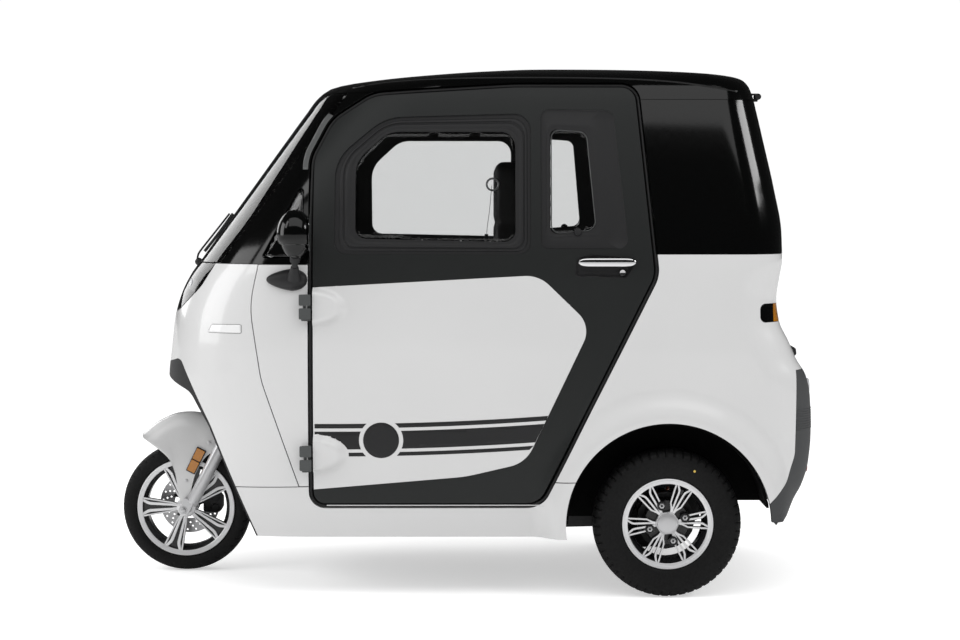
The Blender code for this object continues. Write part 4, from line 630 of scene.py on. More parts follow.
DOOR_CUT = seen_from_side(rounded(grown(DOOR_OUTLINE, DOOR_GAP)))
ARCH_CUT = seen_from_side(circle(ARCH_RADIUS))
BELOW_NOSE = seen_from_side(beyond(((-FAR, 0.666, 0.0),) + NOSE_LOWER_EDGE, (-0.626, 0.0), (-FAR, 0.0)))
BELOW_TRIM = seen_from_side(beyond(((-FAR, 0.703, 0.0),) + NOSE_TRIM_EDGE, (-0.621, 0.0), (-FAR, 0.0)))
HATCH_CUT = seen_from_behind(rounded(grown(HALF_HATCH, HATCH_GAP)))


# Nose: the white cowl over the front wheel, the smoked lamp band above it and the
# black trim along its lower edge.

def zone_of_headlamp(margin):
    """The smoked lamp band's zone in side view, larger by a margin."""
    edge = shifted(HEADLAMP_EDGE, margin, -margin)
    top = BELT_FRONT_Z + margin - GAP
    edge = edge[:-1] + ((edge[-1][0], top, 0.0),)
    return seen_from_side(beyond(edge, (-FAR, top), (-FAR, edge[0][1])))


nose_seam = shifted(COWL_SEAM, -GAP)
nose_outline = seen_from_side(beyond(
    ((nose_seam[0][0], BELT_FRONT_Z - GAP, 0.0),) + nose_seam[1:-1]
    + ((nose_seam[-1][0], 0.3454 + GAP, 0.0),),
    (-FAR, sill_line(-FAR) + GAP), (-FAR, BELT_FRONT_Z - GAP),
))
nose = panel("nose_cowl_skin", [nose_outline], [zone_of_headlamp(GAP), BELOW_TRIM], WHITE, chart="front",
             spacing=0.014)
placed(nose, "body", "white_paint", "nose_cowl")

lamp_lens = panel("headlamp_lens", [zone_of_headlamp(0.0)], [], SMOKED, chart="front", spacing=0.014,
                  thickness=0.004, inner=SMOKED)
placed(lamp_lens, "body", "smoked_glass", "headlamp_band")

cowl_outline = seen_from_side(beyond(
    ((-0.614 + GAP, BELT_FRONT_Z - GAP, 0.0),) + shifted(COWL_SEAM[1:-1], GAP)
    + ((-0.49 + GAP, 0.3454 + GAP, 0.0),),
    (-0.2, sill_line(-0.2) + GAP), (-0.2, BELT_FRONT_Z - GAP),
))
cowl = panel("side_cowl_skin", [cowl_outline], [DOOR_CUT], WHITE)
both_sides(cowl, "body", "white_paint", ["side_cowl_*"])

sill_outline = seen_from_side(np.array((
    (-FAR, SILL_BOTTOM_Z), (0.643, SILL_BOTTOM_Z), (0.643, sill_line(0.643) - GAP),
    (-FAR, sill_line(-FAR) - GAP),
)))
sill = panel("sill_skin", [sill_outline], [BELOW_TRIM, DOOR_CUT, ARCH_CUT], WHITE)
both_sides(sill, "body", "white_paint", ["sill_*"])


# Rear quarters with their flared arches, the tail panel, the bumper and the lamps.

def zone_of_bumper(margin):
    """The rear bumper's zone in side view, larger by a margin."""
    edge = shifted(BUMPER_EDGE, -margin)
    top = BUMPER_EDGE[-1][1] + margin
    edge = edge[:-1] + ((edge[-1][0], top, 0.0),)
    return seen_from_side(beyond(edge, (FAR, top), (FAR, edge[0][1])))


def zone_of_tail(margin):
    """The tail panel's zone seen from behind, larger by a margin."""
    high = HATCH_LOW_Z - HATCH_GAP + margin - GAP
    return seen_from_behind(rectangle(-TAIL_HALF_WIDTH - margin, TAIL_LOW_Z - margin, 0.0, high))


def zone_of_lamp(margin):
    """The rear side lamp's zone, a band round the corner, larger by a margin."""
    front_x, low_z, high_z = LAMP_FRONT_X - margin, LAMP_LOW_Z - margin, LAMP_HIGH_Z + margin
    return seen_from_side(rounded(((front_x, low_z, 0.018), (FAR, low_z, 0.0), (FAR, high_z, 0.0),
                                   (front_x, high_z, 0.018))))

quarter_outline = seen_from_side(np.array((
    (0.2, sill_line(0.2) + GAP), (0.643, sill_line(0.643) + GAP), (0.643, SILL_BOTTOM_Z),
    (FAR, SILL_BOTTOM_Z), (FAR, BELT_REAR_Z - GAP), (0.2, BELT_REAR_Z - GAP),
)))
REAR_LOW_CUT = seen_from_side(rectangle(0.7, 0.05, FAR, 0.241))
quarter_cuts = [DOOR_CUT, ARCH_CUT, REAR_LOW_CUT, zone_of_bumper(GAP), zone_of_tail(GAP), zone_of_lamp(GAP)]
quarter = panel("quarter_panel_skin", [quarter_outline], quarter_cuts, WHITE, spacing=0.013)
both_sides(quarter, "body", "white_paint", ["quarter_panel_*"])

tail = panel("tail_panel_skin", [zone_of_tail(-GAP)], [], WHITE, chart="rear")
placed(tail, "body", "white_paint", "tail_panel")

PLATE_CUT = seen_from_behind(rectangle(-0.15, 0.5, 0.0, 0.63))
bumper = panel("rear_bumper_skin", [zone_of_bumper(0.0)], [ARCH_CUT, PLATE_CUT, REAR_LOW_CUT], BUMPER,
               chart="rear", edge=0.003)
placed(bumper, "body", "bumper_plastic", "rear_bumper")

tail_edge = seen_from_behind(rectangle(-TAIL_HALF_WIDTH - GAP, 0.5, 0.0, 1.0))


# Black upper part: pillars beside the windscreen, the roof and the rear quarters.

pillar_outline = seen_from_side(np.array((
    (SCREEN_FOOT_X + 0.002, BELT_FRONT_Z), (-0.2, BELT_FRONT_Z), (-0.2, SCREEN_TOP_Z - GAP / 2),
    (SCREEN_HEAD_X + 0.002, SCREEN_TOP_Z - GAP / 2),
)))
quarter_window = seen_from_side(rounded(QUARTER_GLASS_OUTLINE))
pillar = panel("a_pillar_skin", [pillar_outline], [DOOR_CUT, quarter_window], BLACK, spacing=0.013)
both_sides(pillar, "body", "black_paint", ["a_pillar_*"])

roof_outline = seen_from_side(np.array((
    (-FAR, SCREEN_TOP_Z + GAP / 2), (0.0, SCREEN_TOP_Z + GAP / 2), (0.0, ROOF_SEAM_REAR_Z + GAP / 2),
    (FAR, ROOF_SEAM_REAR_Z + GAP / 2), (FAR, 2.0), (-FAR, 2.0),
)))
roof = panel("roof_skin", [roof_outline], [DOOR_CUT, HATCH_CUT], BLACK, chart="front", spacing=0.021)
placed(roof, "body", "black_paint", "roof")

upper_outline = seen_from_side(np.array((
    (0.45, BELT_REAR_Z), (FAR, BELT_REAR_Z), (FAR, ROOF_SEAM_REAR_Z - GAP / 2),
    (0.45, ROOF_SEAM_REAR_Z - GAP / 2),
)))
upper = panel("upper_quarter_skin", [upper_outline], [DOOR_CUT, HATCH_CUT, zone_of_tail(GAP)], BLACK)
both_sides(upper, "body", "black_paint", ["upper_quarter_*"])


# Glass of the cabin: windscreen, quarter panes and the hatch with its pane.

screen_outline = seen_from_side(np.array((
    (-FAR, BELT_FRONT_Z + GAP), (SCREEN_FOOT_X, BELT_FRONT_Z + GAP),
    (SCREEN_HEAD_X, SCREEN_TOP_Z - GAP / 2),
    (-FAR, SCREEN_TOP_Z - GAP / 2),
)))
screen = panel("windscreen_pane", [screen_outline], [], SCREEN, chart="front", thickness=0.005,
               inner=SCREEN)
placed(screen, "body", "window_glass", "windscreen")


def sunk(depth):
    """A shaping that moves a pane inwards, straight across the vehicle."""
    def move(points):
        moved = points.copy()
        moved[:, 1] -= np.sign(points[:, 1]) * depth
        return moved
    return move


def pane(name, opening, shape, chart="left"):
    """A pane of glass over an opening, set in by a shaping."""
    return panel(name, [opening], [], WINDOW, chart=chart, thickness=0.004, inner=WINDOW, shape=shape,
                 edge=0.0)

both_sides(pane("quarter_pane", quarter_window, sunk(0.008)), "body", "window_glass", ["quarter_glass_*"])

hatch_whole = seen_from_behind(rounded(HALF_HATCH))
hatch_window = seen_from_behind(rounded(grown(HALF_HATCH, -0.045)))
hatch = panel("hatch_frame_skin", [hatch_whole], [hatch_window], BLACK, chart="rear")
placed(hatch, "hatch", "black_paint", "hatch_frame")


def sunk_forward(points):
    """A shaping that moves a pane forwards."""
    return points - (0.008, 0, 0)


placed(pane("hatch_pane", hatch_window, sunk_forward, "rear"), "hatch", "window_glass", "hatch_glass")


# Door furniture: the moulded black surrounds of both windows, the seals round the
# leaf, the stripes on the white panel, the hinge leaves and the pull handle.

def ring_faces(rows, columns, around_rows=True, around_columns=True, caps=False):
    """Quads between the rows and columns of a grid of points; a cap closes each open end."""
    last_row = rows if around_rows else rows - 1
    last_column = columns if around_columns else columns - 1
    i, j = np.meshgrid(np.arange(last_row), np.arange(last_column), indexing="ij")
    a = i * columns + j
    b = i * columns + (j + 1) % columns
    c = (i + 1) % rows * columns + (j + 1) % columns
    d = (i + 1) % rows * columns + j
    faces = np.stack([a.ravel(), b.ravel(), c.ravel(), d.ravel()], axis=1).tolist()
    if caps:
        faces.append(list(range(columns))[::-1])
        faces.append(list(range((rows - 1) * columns, rows * columns)))
    return faces


def joined(*parts):
    """Several shapes' points and faces as one."""
    points, faces, base = [], [], 0
    for some_points, some_faces in parts:
        some_points = np.asarray(some_points).reshape(-1, 3)
        points.append(some_points)
        faces += [[base + corner for corner in face] for face in some_faces]
        base += len(some_points)
    return np.concatenate(points), faces


def solid_piece(name, shape, material, crease=35, bevel=0.0):
    """An object of a closed shape, its faces turned outwards and its sharp edges kept."""
    points, faces = shape
    mesh = bpy.data.meshes.new(name)
    mesh.from_pydata(np.asarray(points).reshape(-1, 3).tolist(), [], faces)
    mesh.validate()
    work = bmesh.new()
    work.from_mesh(mesh)
    bmesh.ops.recalc_face_normals(work, faces=work.faces)
    work.to_mesh(mesh)
    work.free()
    mesh.materials.append(material)
    mesh.shade_smooth()
    mesh.set_sharp_from_angle(angle=math.radians(crease))
    piece = bpy.data.objects.new(name, mesh)
    bpy.context.scene.collection.objects.link(piece)
    return edged(piece, bevel, crease) if bevel > 0 else piece


def matched(corners, per_arc=8, per_side=12):
    """Points of a rounded outline, as many on every arc and side, so that outlines can be joined."""
    arcs = []
    for index in range(len(corners)):
        centre, first, sweep = corner_arc(corners, index)
        turns = [sweep * k / per_arc for k in range(per_arc + 1)]
        arcs.append([tuple(centre + Matrix.Rotation(turn, 2) @ first) for turn in turns])
    points = []
    for index, arc in enumerate(arcs):
        start, end = np.array(arc[-1]), np.array(arcs[(index + 1) % len(arcs)][0])
        share = np.arange(1, per_side)[:, None] / per_side
        points += [np.array(arc), start + (end - start) * share]
    return np.concatenate(points)


def frame_on_form(spots, chart="left", closed=True, step=0.002):
    """Points, outward normals and sideways directions along a line of the form.

    The normal is the cross product of a small step round and one up; sideways is the
    normal crossed with the line's own direction.
    """
    points = on_form(spots, chart)
    around = on_form(spots + (step, 0), chart) - on_form(spots - (step, 0), chart)
    upward = on_form(spots + (0, step), chart) - on_form(spots - (0, step), chart)
    normal = np.cross(around, upward)
    normal /= np.linalg.norm(normal, axis=1)[:, None]
    facing = np.einsum("ij,ij->i", normal, points - np.array((0.05, 0.0, 0.75)))
    normal *= np.where(facing < 0, -1.0, 1.0)[:, None]
    along = np.roll(points, -1, 0) - np.roll(points, 1, 0) if closed else np.gradient(points, axis=0)
    along /= np.linalg.norm(along, axis=1)[:, None]
    return points, normal, np.cross(normal, along)


def bead(name, spots, profile, material, closed=True):
    """A strip swept along a line of the form; its profile is pairs of way aside and way out."""
    points, normal, aside = frame_on_form(spots, closed=closed)
    profile = np.array(profile)
    grid = points[:, None] + aside[:, None] * profile[None, :, :1] + normal[:, None] * profile[None, :, 1:]
    faces = ring_faces(len(points), len(profile), around_rows=closed, caps=not closed)
    return solid_piece(name, (grid, faces), material, crease=50)


def rounded_strip(width, low, high, count=7):
    """Profile of a strip with a half-round back, between two depths."""
    turn = np.linspace(0, math.pi, count)
    back = np.stack([-width / 2 * np.cos(turn), low + (high - low) * (0.35 + 0.65 * np.sin(turn))], axis=1)
    return np.vstack([[(-width / 2, low)], back, [(width / 2, low)]])


def surround(name, outer, inner, profile, material):
    """A moulded ring between two outlines; its profile is pairs of share inwards and depth."""
    first, last = matched(outer), matched(inner)
    rows = []
    for share, depth in profile:
        line = first + (last - first) * share
        v = up_of(line[:, 1])
        spots = np.stack([round_of_x(line[:, 0], v), v], axis=1)
        points, normal, _ = frame_on_form(spots)
        rows.append(points - normal * depth)
    grid = np.stack(rows)
    faces = ring_faces(len(rows), grid.shape[1])
    return solid_piece(name, (grid, faces), material, crease=38)


MAIN_SURROUND = ((-0.379, 1.059, 0.035), (0.221, 1.059, 0.035), (0.221, 1.49, 0.05), (-0.225, 1.478, 0.16),
                 (-0.379, 1.35, 0.13))
VENT_SURROUND = ((0.2515, 1.075, 0.025), (0.52, 1.075, 0.03), (0.474, 1.5, 0.03), (0.2515, 1.503, 0.025))
LIPS = ((0.0, 0.03), (0.0, 0.0035), (0.03, 0.0062), (0.22, 0.0068), (0.26, 0.0045), (0.33, 0.003),
        (0.4, 0.0034), (0.45, 0.0068), (0.5, 0.0068), (0.55, 0.004), (0.65, 0.0026), (0.76, 0.0032),
        (0.82, 0.005), (0.88, 0.005), (1.0, 0.004), (1.04, 0.0046), (1.045, 0.024), (0.7, 0.03))
PLAIN = ((0.0, 0.03), (0.0, 0.0032), (0.04, 0.0055), (0.6, 0.0058), (0.7, 0.0036), (0.86, 0.0032),
         (0.94, 0.0048), (1.0, 0.004), (1.04, 0.0046), (1.045, 0.024), (0.6, 0.03))

STRIPE_LEFT_X, STRIPE_MIDDLE_X = -0.4365, -0.1646
STRIPE_TOP_Z = 0.541
DISC_CENTRE = (-0.2369, 0.4903)
DISC_FILM_RADIUS = 0.0549
DISC_RING_RADIUS = 0.0677
BULGES = ((-0.452, 0.897), (-0.452, 0.4455))
BULGE_LENGTH, BULGE_HALF_HEIGHT, BULGE_RISE = 0.116, 0.064, 0.02


def stripe_top(x):
    """Height of the stripes' upper edge: a parabola that flattens towards the front."""
    return STRIPE_TOP_Z + 0.00993 * (x - STRIPE_LEFT_X) + 0.0562 * (x - STRIPE_LEFT_X) * (x - STRIPE_MIDDLE_X)


def bulge_reach(x, z, centre):
    """Distance from a hinge bulge's middle, 1 at its rounded outline."""
    return np.hypot((x - centre[0]) / BULGE_LENGTH, (z - centre[1]) / BULGE_HALF_HEIGHT)


def white_panel_shape(points):
    """The white panel's two D-shaped bulges over the hinges: a smooth step at the D's outline."""
    moved = points.copy()
    for centre in BULGES:
        t = np.clip((1.0 - bulge_reach(points[:, 0], points[:, 2], centre)) / 0.32, 0, 1)
        moved[:, 1] -= BULGE_RISE * t * t * (3 - 2 * t)
    return moved


# Doors: a dark leaf with a white panel, two windows and a handle.

leaf = seen_from_side(rounded(DOOR_OUTLINE))
white_zone = seen_from_side(rounded(grown(DOOR_PANEL_OUTLINE, 0.0)))
white_gap = seen_from_side(rounded(grown(DOOR_PANEL_OUTLINE, GAP)))
main_window = seen_from_side(rounded(MAIN_WINDOW_OUTLINE))
vent_window = seen_from_side(rounded(VENT_WINDOW_OUTLINE))
handle_zone = seen_from_side(rounded(HANDLE_OUTLINE))
main_hole = seen_from_side(rounded(MAIN_SURROUND))
vent_hole = seen_from_side(rounded(VENT_SURROUND))
door = panel("door_frame_skin", [leaf], [white_gap, main_hole, vent_hole, handle_zone], ANTHRACITE,
             spacing=0.014, edge=0.004)
both_sides(door, "door_*", "door_frame_paint", ["door_frame_*"])
door_white = panel("door_panel_skin", [leaf, white_zone], [], WHITE, spacing=0.01, shape=white_panel_shape,
                   edge=0.003)
both_sides(door_white, "door_*", "white_paint", ["door_panel_*"])
for stem, opening in (("door", main_window), ("vent", vent_window)):
    both_sides(pane(stem + "_pane", opening, sunk(0.008)), "door_*", "window_glass", [stem + "_glass_*"])

for stem, outer, inner, profile in (
    ("window_surround", MAIN_SURROUND, MAIN_WINDOW_OUTLINE, LIPS),
    ("vent_surround", VENT_SURROUND, VENT_WINDOW_OUTLINE, PLAIN),
):
    ring = surround(stem, outer, inner, profile, TRIM)
    both_sides(ring, "door_*", "door_frame_paint")

seal_line = seen_from_side(rounded(grown(DOOR_OUTLINE, 0.0085)))
seal = bead("door_seal", seal_line, rounded_strip(0.0125, -0.02, -0.0012), RUBBER)
both_sides(seal, "body", "trim_plastic")

vent_edge = seen_from_side(rounded(grown(VENT_WINDOW_OUTLINE, -0.004)))
vent_strip = bead("vent_edge_strip", vent_edge, rounded_strip(0.0035, -0.01, -0.0026, 5), SATIN)
both_sides(vent_strip, "door_*", "bare_metal")

lip_ends = np.array(((-0.405, 0.2868), (0.262, 0.2868)))
lip = bead("sill_lip", seen_from_side(lip_ends, closed=False), rounded_strip(0.0048, -0.012, 0.0012, 5),
           WHITE,
           closed=False)
both_sides(lip, "body", "white_paint")


# Stripes on the white door panel: two thin lines and a band with slanted rear ends,
# broken by a plain black disc and by the lower hinge bulge. They are thin black film.

def film(name, keep, cut, material):
    """A thin film on the white door panel."""
    spots, faces = region(keep, cut, 0.01, "left")
    points, normal, _ = frame_on_form(spots)
    points = white_panel_shape(points)
    piece = mesh_piece(name, points + normal * 0.0005, facing_out(points, faces), material)
    return thickened(piece, 0.0003, edge=0.0, inner=material)


def stripe_loop(upper, lower, upper_end, lower_end):
    """A stripe between two depths under the upper edge, with a slanted rear end."""
    x = np.concatenate([np.linspace(upper_end, -0.44, 60), np.linspace(-0.44, lower_end, 60)])
    return seen_from_side(np.stack([x, stripe_top(x) - np.repeat((upper, lower), 60)], axis=1))


bulge_circle = circle(1.0, (0.0, 0.0), 90)
bulge_loop = seen_from_side(bulge_circle * (BULGE_LENGTH, BULGE_HALF_HEIGHT) + BULGES[1])
disc_loop = seen_from_side(circle(DISC_FILM_RADIUS, DISC_CENTRE, 72))
ring_loop = seen_from_side(circle(DISC_RING_RADIUS, DISC_CENTRE, 72))
for stem, loop in (
    ("stripe_upper", stripe_loop(0.0, 0.0137, 0.273, 0.268)),
    ("stripe_band", stripe_loop(0.0238, 0.0787, 0.2624, 0.2346)),
    ("stripe_lower", stripe_loop(0.089, 0.1005, 0.2295, 0.217)),
):
    line = film(stem, [loop, white_zone], [ring_loop, bulge_loop], TRIM)
    both_sides(line, "door_*", "trim_plastic")
disc = film("stripe_disc", [disc_loop], [], TRIM)
both_sides(disc, "door_*", "trim_plastic")


# Hinge leaves and pull handle. Each hinge shows two dark blocks at the door's front
# edge; the handle is a chromed bar over a dark pocket, with a lock barrel under it.

def slab(outline, low_y, high_y):
    """A plate with an outline in side view, between two depths across the vehicle."""
    outline = np.asarray(outline)
    near = np.stack([outline[:, 0], np.full(len(outline), low_y), outline[:, 1]], axis=1)
    far = near + (0, high_y - low_y, 0)
    return np.concatenate([near, far]), ring_faces(2, len(outline), around_rows=False, caps=True)


hinge_parts = []
for hinge_z in (0.438, 0.9):
    for low, high in ((-0.038, -0.004), (0.004, 0.038)):
        leaf_outline = rounded(((-0.484, hinge_z + low, 0.004), (-0.448, hinge_z + low, 0.004),
                                (-0.448, hinge_z + high, 0.004), (-0.484, hinge_z + high, 0.004)))
        hinge_parts.append(slab(leaf_outline, -0.5735, -0.5695))
hinge = solid_piece("hinge_leaves", joined(*hinge_parts), HINGE_GREY, bevel=0.0012)
both_sides(hinge, "body", "frame_steel")

handle_spots, handle_faces = region([handle_zone], [], 0.006, "left")
handle_points, handle_normal, _ = frame_on_form(handle_spots)
toward_edge = np.min(np.linalg.norm(handle_spots[:, None] - handle_zone[None], axis=2), axis=1)
dish = np.clip(toward_edge / 0.012, 0, 1)
handle_points = handle_points - handle_normal * (0.002 + 0.013 * dish * dish * (3 - 2 * dish))[:, None]
pocket = mesh_piece("handle_pocket", handle_points, facing_out(handle_points, handle_faces), TRIM)
thickened(pocket, 0.003, edge=0.0, inner=TRIM)
both_sides(pocket, "door_*", "door_frame_paint")


def superellipse(turn, power):
    """Both coordinates of a superellipse of half size 1 at an angle."""
    across, up = np.cos(turn), np.sin(turn)
    return np.sign(across) * np.abs(across) ** (2 / power), np.sign(up) * np.abs(up) ** (2 / power)

def bar_shape(low_x, high_x, centre, half_height, half_depth, power=2.6, rows=36, columns=24):
    """A rounded bar along x: superellipses whose size falls off at both ends."""
    t = np.linspace(-1, 1, rows)
    size = np.maximum(0.05, (1 - np.abs(t) ** 8)) ** 0.5
    turn = np.linspace(0, 2 * math.pi, columns, endpoint=False)
    across, up = superellipse(turn, power)
    x = (low_x + high_x) / 2 + (high_x - low_x) / 2 * t
    grid = np.stack(np.broadcast_arrays(
        x[:, None], centre[0] + half_depth * size[:, None] * across,
        centre[1] + half_height * size[:, None] * up
    ), axis=2)
    return grid, ring_faces(rows, columns, around_rows=False, caps=True)


bar = solid_piece("handle_bar", bar_shape(0.366, 0.54, (-0.5365, 1.0345), 0.014, 0.0075), CHROME)
both_sides(bar, "door_*", "chrome", ["door_handle_*"])


def turned_shape(profile, centre, steps=48):
    """A shape turned about an axis along y; its profile is pairs of way along the axis and radius."""
    profile = np.asarray(profile)
    turn = np.linspace(0, 2 * math.pi, steps, endpoint=False)[:, None]
    along, radius = profile[:, 0][None], profile[:, 1][None]
    grid = np.stack(np.broadcast_arrays(radius * np.cos(turn), along, radius * np.sin(turn)), axis=2)
    first_end = [row * len(profile) for row in range(steps)]
    far_end = [spot + len(profile) - 1 for spot in first_end]
    faces = ring_faces(steps, len(profile), around_columns=False) + [first_end[::-1], far_end]
    return grid + np.array(centre), faces


barrel = turned_shape(((-0.0075, 0.0035), (-0.008, 0.0085), (-0.006, 0.01), (0.006, 0.01)),
                      (0.5, -0.529, 1.003), steps=32)
lock = solid_piece("door_lock", barrel, CHROME)
both_sides(lock, "door_*", "chrome")
latch = turned_shape(((-0.01, 0.004), (-0.011, 0.01), (-0.004, 0.0125), (0.002, 0.0125)),
                     (0.364, -0.508, 1.127), steps=24)
vent_latch = solid_piece("vent_latch", latch, TRIM)
both_sides(vent_latch, "door_*", "trim_plastic")


# Wheels: cast rims with machined lips and thin machined spokes over a black barrel,
# and rubber tyres whose tread is cut with grooves. All are turned or swept surfaces.

def smooth_line(points, count):
    """Evenly counted points of a curve through the given ones, cubic between each two."""
    points = np.asarray(points, float)
    padded = np.vstack([2 * points[0] - points[1], points, 2 * points[-1] - points[-2]])
    where = np.linspace(0, len(points) - 1, count)
    index = np.minimum(where.astype(int), len(points) - 2)
    t = (where - index)[:, None]
    a, b, c, d = padded[index], padded[index + 1], padded[index + 2], padded[index + 3]
    return 0.5 * (2 * b + (c - a) * t + (2 * a - 5 * b + 4 * c - d) * t ** 2
                  + (3 * b - a - 3 * c + d) * t ** 3)


def turned_ring(profile, centre, steps=96):
    """A closed ring about the y axis; its profile is a closed line of way along the axis and radius."""
    profile = np.asarray(profile)
    turn = np.linspace(0, 2 * math.pi, steps, endpoint=False)
    along = np.broadcast_to(profile[:, 0], (steps, len(profile)))
    x = profile[:, 1] * np.cos(turn)[:, None]
    z = profile[:, 1] * np.sin(turn)[:, None]
    return np.stack([x, along, z], axis=2) + np.array(centre), ring_faces(steps, len(profile))


def second_finish(piece, material, where):
    """A second material on the faces that a test of their middles and normals picks."""
    piece.data.materials.append(material)
    count = len(piece.data.polygons)
    middle, normal = np.empty(count * 3), np.empty(count * 3)
    piece.data.polygons.foreach_get("center", middle)
    piece.data.polygons.foreach_get("normal", normal)
    chosen = where(middle.reshape(-1, 3), normal.reshape(-1, 3))
    piece.data.polygons.foreach_set("material_index", chosen.astype(np.int32))


def spoke_bar(path, front, back, chamfer=0.0012):
    """A thin bar of an arm: path rows are way out, way across, half width; front depends on the way out."""
    path = np.array(path, float)
    direction = np.gradient(path[:, :2], axis=0)
    direction /= np.linalg.norm(direction, axis=1)[:, None]
    aside = np.stack([-direction[:, 1], direction[:, 0]], axis=1)
    face = front(path[:, 0])
    width = path[:, 2]
    ways = ((-width, np.full(len(path), back)), (-width, face + chamfer), (-(width - chamfer), face),
            (width - chamfer, face), (width, face + chamfer), (width, np.full(len(path), back)))
    columns = [
        np.stack([path[:, 0] + aside[:, 0] * way, depth, path[:, 1] + aside[:, 1] * way], axis=1)
        for way, depth in ways
    ]
    return np.stack(columns, axis=1), ring_faces(len(path), 6, around_rows=False, caps=True)


def around_wheel(shape, centre, angles):
    """Copies of an arm's shape turned about the wheel's axis."""
    points, faces = shape
    points = np.asarray(points).reshape(-1, 3)
    copies = []
    for angle in angles:
        c, s = math.cos(angle), math.sin(angle)
        x = points[:, 0] * c - points[:, 2] * s
        z = points[:, 0] * s + points[:, 2] * c
        copies.append((np.stack([x, points[:, 1], z], axis=1) + np.array(centre), faces))
    return joined(*copies)


def mirrored_path(path):
    """The same bar on the arm's other side."""
    return [(out, -across, width) for out, across, width in path]


def wheel_place(centre, radius, degrees):
    """A place on a circle round a wheel's axis."""
    angle = math.radians(degrees)
    return centre[0] + radius * math.cos(angle), centre[1], centre[2] + radius * math.sin(angle)

REAR_CENTRE = (0.643, -0.457, 0.229)
REAR_RIM = 0.14
REAR_ARMS = [math.radians(5 + 60 * k) for k in range(6)]
REAR_OUTER_BAR = [(0.03, 0.003, 0.0032), (0.046, 0.0075, 0.003), (0.062, 0.0175, 0.0027),
                  (0.095, 0.0225, 0.0027), (0.1255, 0.0268, 0.0029)]
REAR_INNER_BAR = [(0.03, 0.002, 0.003), (0.06, 0.0052, 0.0031), (0.1, 0.008, 0.0032),
                  (0.108, 0.0098, 0.0033), (0.1262, 0.0225, 0.003)]


def rear_face(out):
    """Depth of the rear spokes' machined face: it comes forward a little towards the rim."""
    return -0.041 - 0.011 * out / REAR_RIM


rear_lip = ((-0.05, 0.124), (-0.056, 0.1236), (-0.0575, 0.1262), (-0.058, 0.1315), (-0.06, 0.1325),
            (-0.0604, 0.1345), (-0.0622, 0.136), (-0.0626, 0.1388), (-0.0616, 0.1402), (-0.0595, 0.1402),
            (-0.0585, 0.129), (-0.05, 0.1286))
rear_barrel = ((-0.0505, 0.1236), (-0.027, 0.111), (0.027, 0.111), (0.056, 0.1235), (0.0616, 0.1235),
               (0.0616, 0.14), (0.0585, 0.14), (0.058, 0.1285), (0.025, 0.116), (-0.025, 0.116),
               (-0.0505, 0.128))
lip_ring = solid_piece("rear_rim_lip", turned_ring(rear_lip, REAR_CENTRE), MACHINED, crease=28)
both_sides(lip_ring, "rear_wheel_*", "alloy", ["rear_rim_*"])
barrel_ring = solid_piece("rear_rim_barrel", turned_ring(rear_barrel, REAR_CENTRE), DARK_ALLOY, crease=28)
both_sides(barrel_ring, "rear_wheel_*", "alloy")

arm = joined(*[
    spoke_bar(path, rear_face, -0.028)
    for bar_path in (REAR_OUTER_BAR, REAR_INNER_BAR) for path in (bar_path, mirrored_path(bar_path))
])
spokes = solid_piece("rear_spokes", around_wheel(arm, REAR_CENTRE, REAR_ARMS), MACHINED, crease=30)
second_finish(spokes, DARK_ALLOY, lambda middle, normal: np.abs(normal[:, 1]) < 0.45)
both_sides(spokes, "rear_wheel_*", "alloy")

turn = np.linspace(0, 2 * math.pi, 120, endpoint=False)
lobes = 0.0355 * (1 + 0.035 * np.cos(6 * turn - math.radians(30)))
rings = [(0.62, -0.003), (1.0, -0.03), (1.0, -0.044), (0.96, -0.0462), (0.885, -0.0462), (0.865, -0.048),
         (0.84, -0.05), (0.78, -0.0508), (0.4, -0.052), (0.02, -0.0523)]
cap_rows = []
for share, depth in rings:
    radius = np.where(share > 0.87, lobes * share, 0.0355 * share)
    cap_rows.append(np.stack([radius * np.cos(turn), np.full(120, depth), radius * np.sin(turn)], axis=1))
cap_faces = ring_faces(len(rings), 120, around_rows=False, caps=True)
cap = solid_piece("rear_hub_cap", (np.stack(cap_rows) + np.array(REAR_CENTRE), cap_faces), STEEL, crease=25)
both_sides(cap, "rear_wheel_*", "alloy")

NUT_CIRCLE = 0.057
nut_parts, boss_parts = [], []
for k in range(4):
    place = wheel_place(REAR_CENTRE, NUT_CIRCLE, 18 + 90 * k)
    boss_parts.append(turned_shape(((-0.05, 0.0098), (-0.0508, 0.0115), (-0.05, 0.0146), (-0.024, 0.015)),
                                   place, steps=32))
    nut_parts.append(turned_shape(((-0.049, 0.0035), (-0.053, 0.0042), (-0.0545, 0.006), (-0.054, 0.0078),
                                   (-0.0515, 0.0088), (-0.048, 0.0088)), place, steps=6))
bosses = solid_piece("rear_nut_bosses", joined(*boss_parts), DARK_ALLOY)
both_sides(bosses, "rear_wheel_*", "alloy")
nuts = solid_piece("rear_nuts", joined(*nut_parts), STEEL, crease=30)
both_sides(nuts, "rear_wheel_*", "bare_metal")
disc_back = turned_ring(((-0.0265, 0.028), (-0.0265, 0.068), (-0.02, 0.072), (0.0, 0.072), (0.0, 0.028)),
                        REAR_CENTRE)
drum_face = solid_piece("rear_hub_flange", disc_back, DARK_ALLOY)
both_sides(drum_face, "rear_wheel_*", "alloy")

FRONT_CENTRE = (-0.905, 0.0, 0.2115)
FRONT_ARMS = [math.radians(180 + 72 * k) for k in range(5)]
FRONT_OUTER_BAR = [(0.028, 0.008, 0.003), (0.05, 0.0145, 0.0026), (0.1, 0.0225, 0.0026),
                   (0.144, 0.03, 0.003)]
FRONT_INNER_BAR = [(0.028, 0.003, 0.003), (0.05, 0.0072, 0.004), (0.118, 0.0118, 0.0052),
                   (0.126, 0.014, 0.0052), (0.1446, 0.0238, 0.0042)]


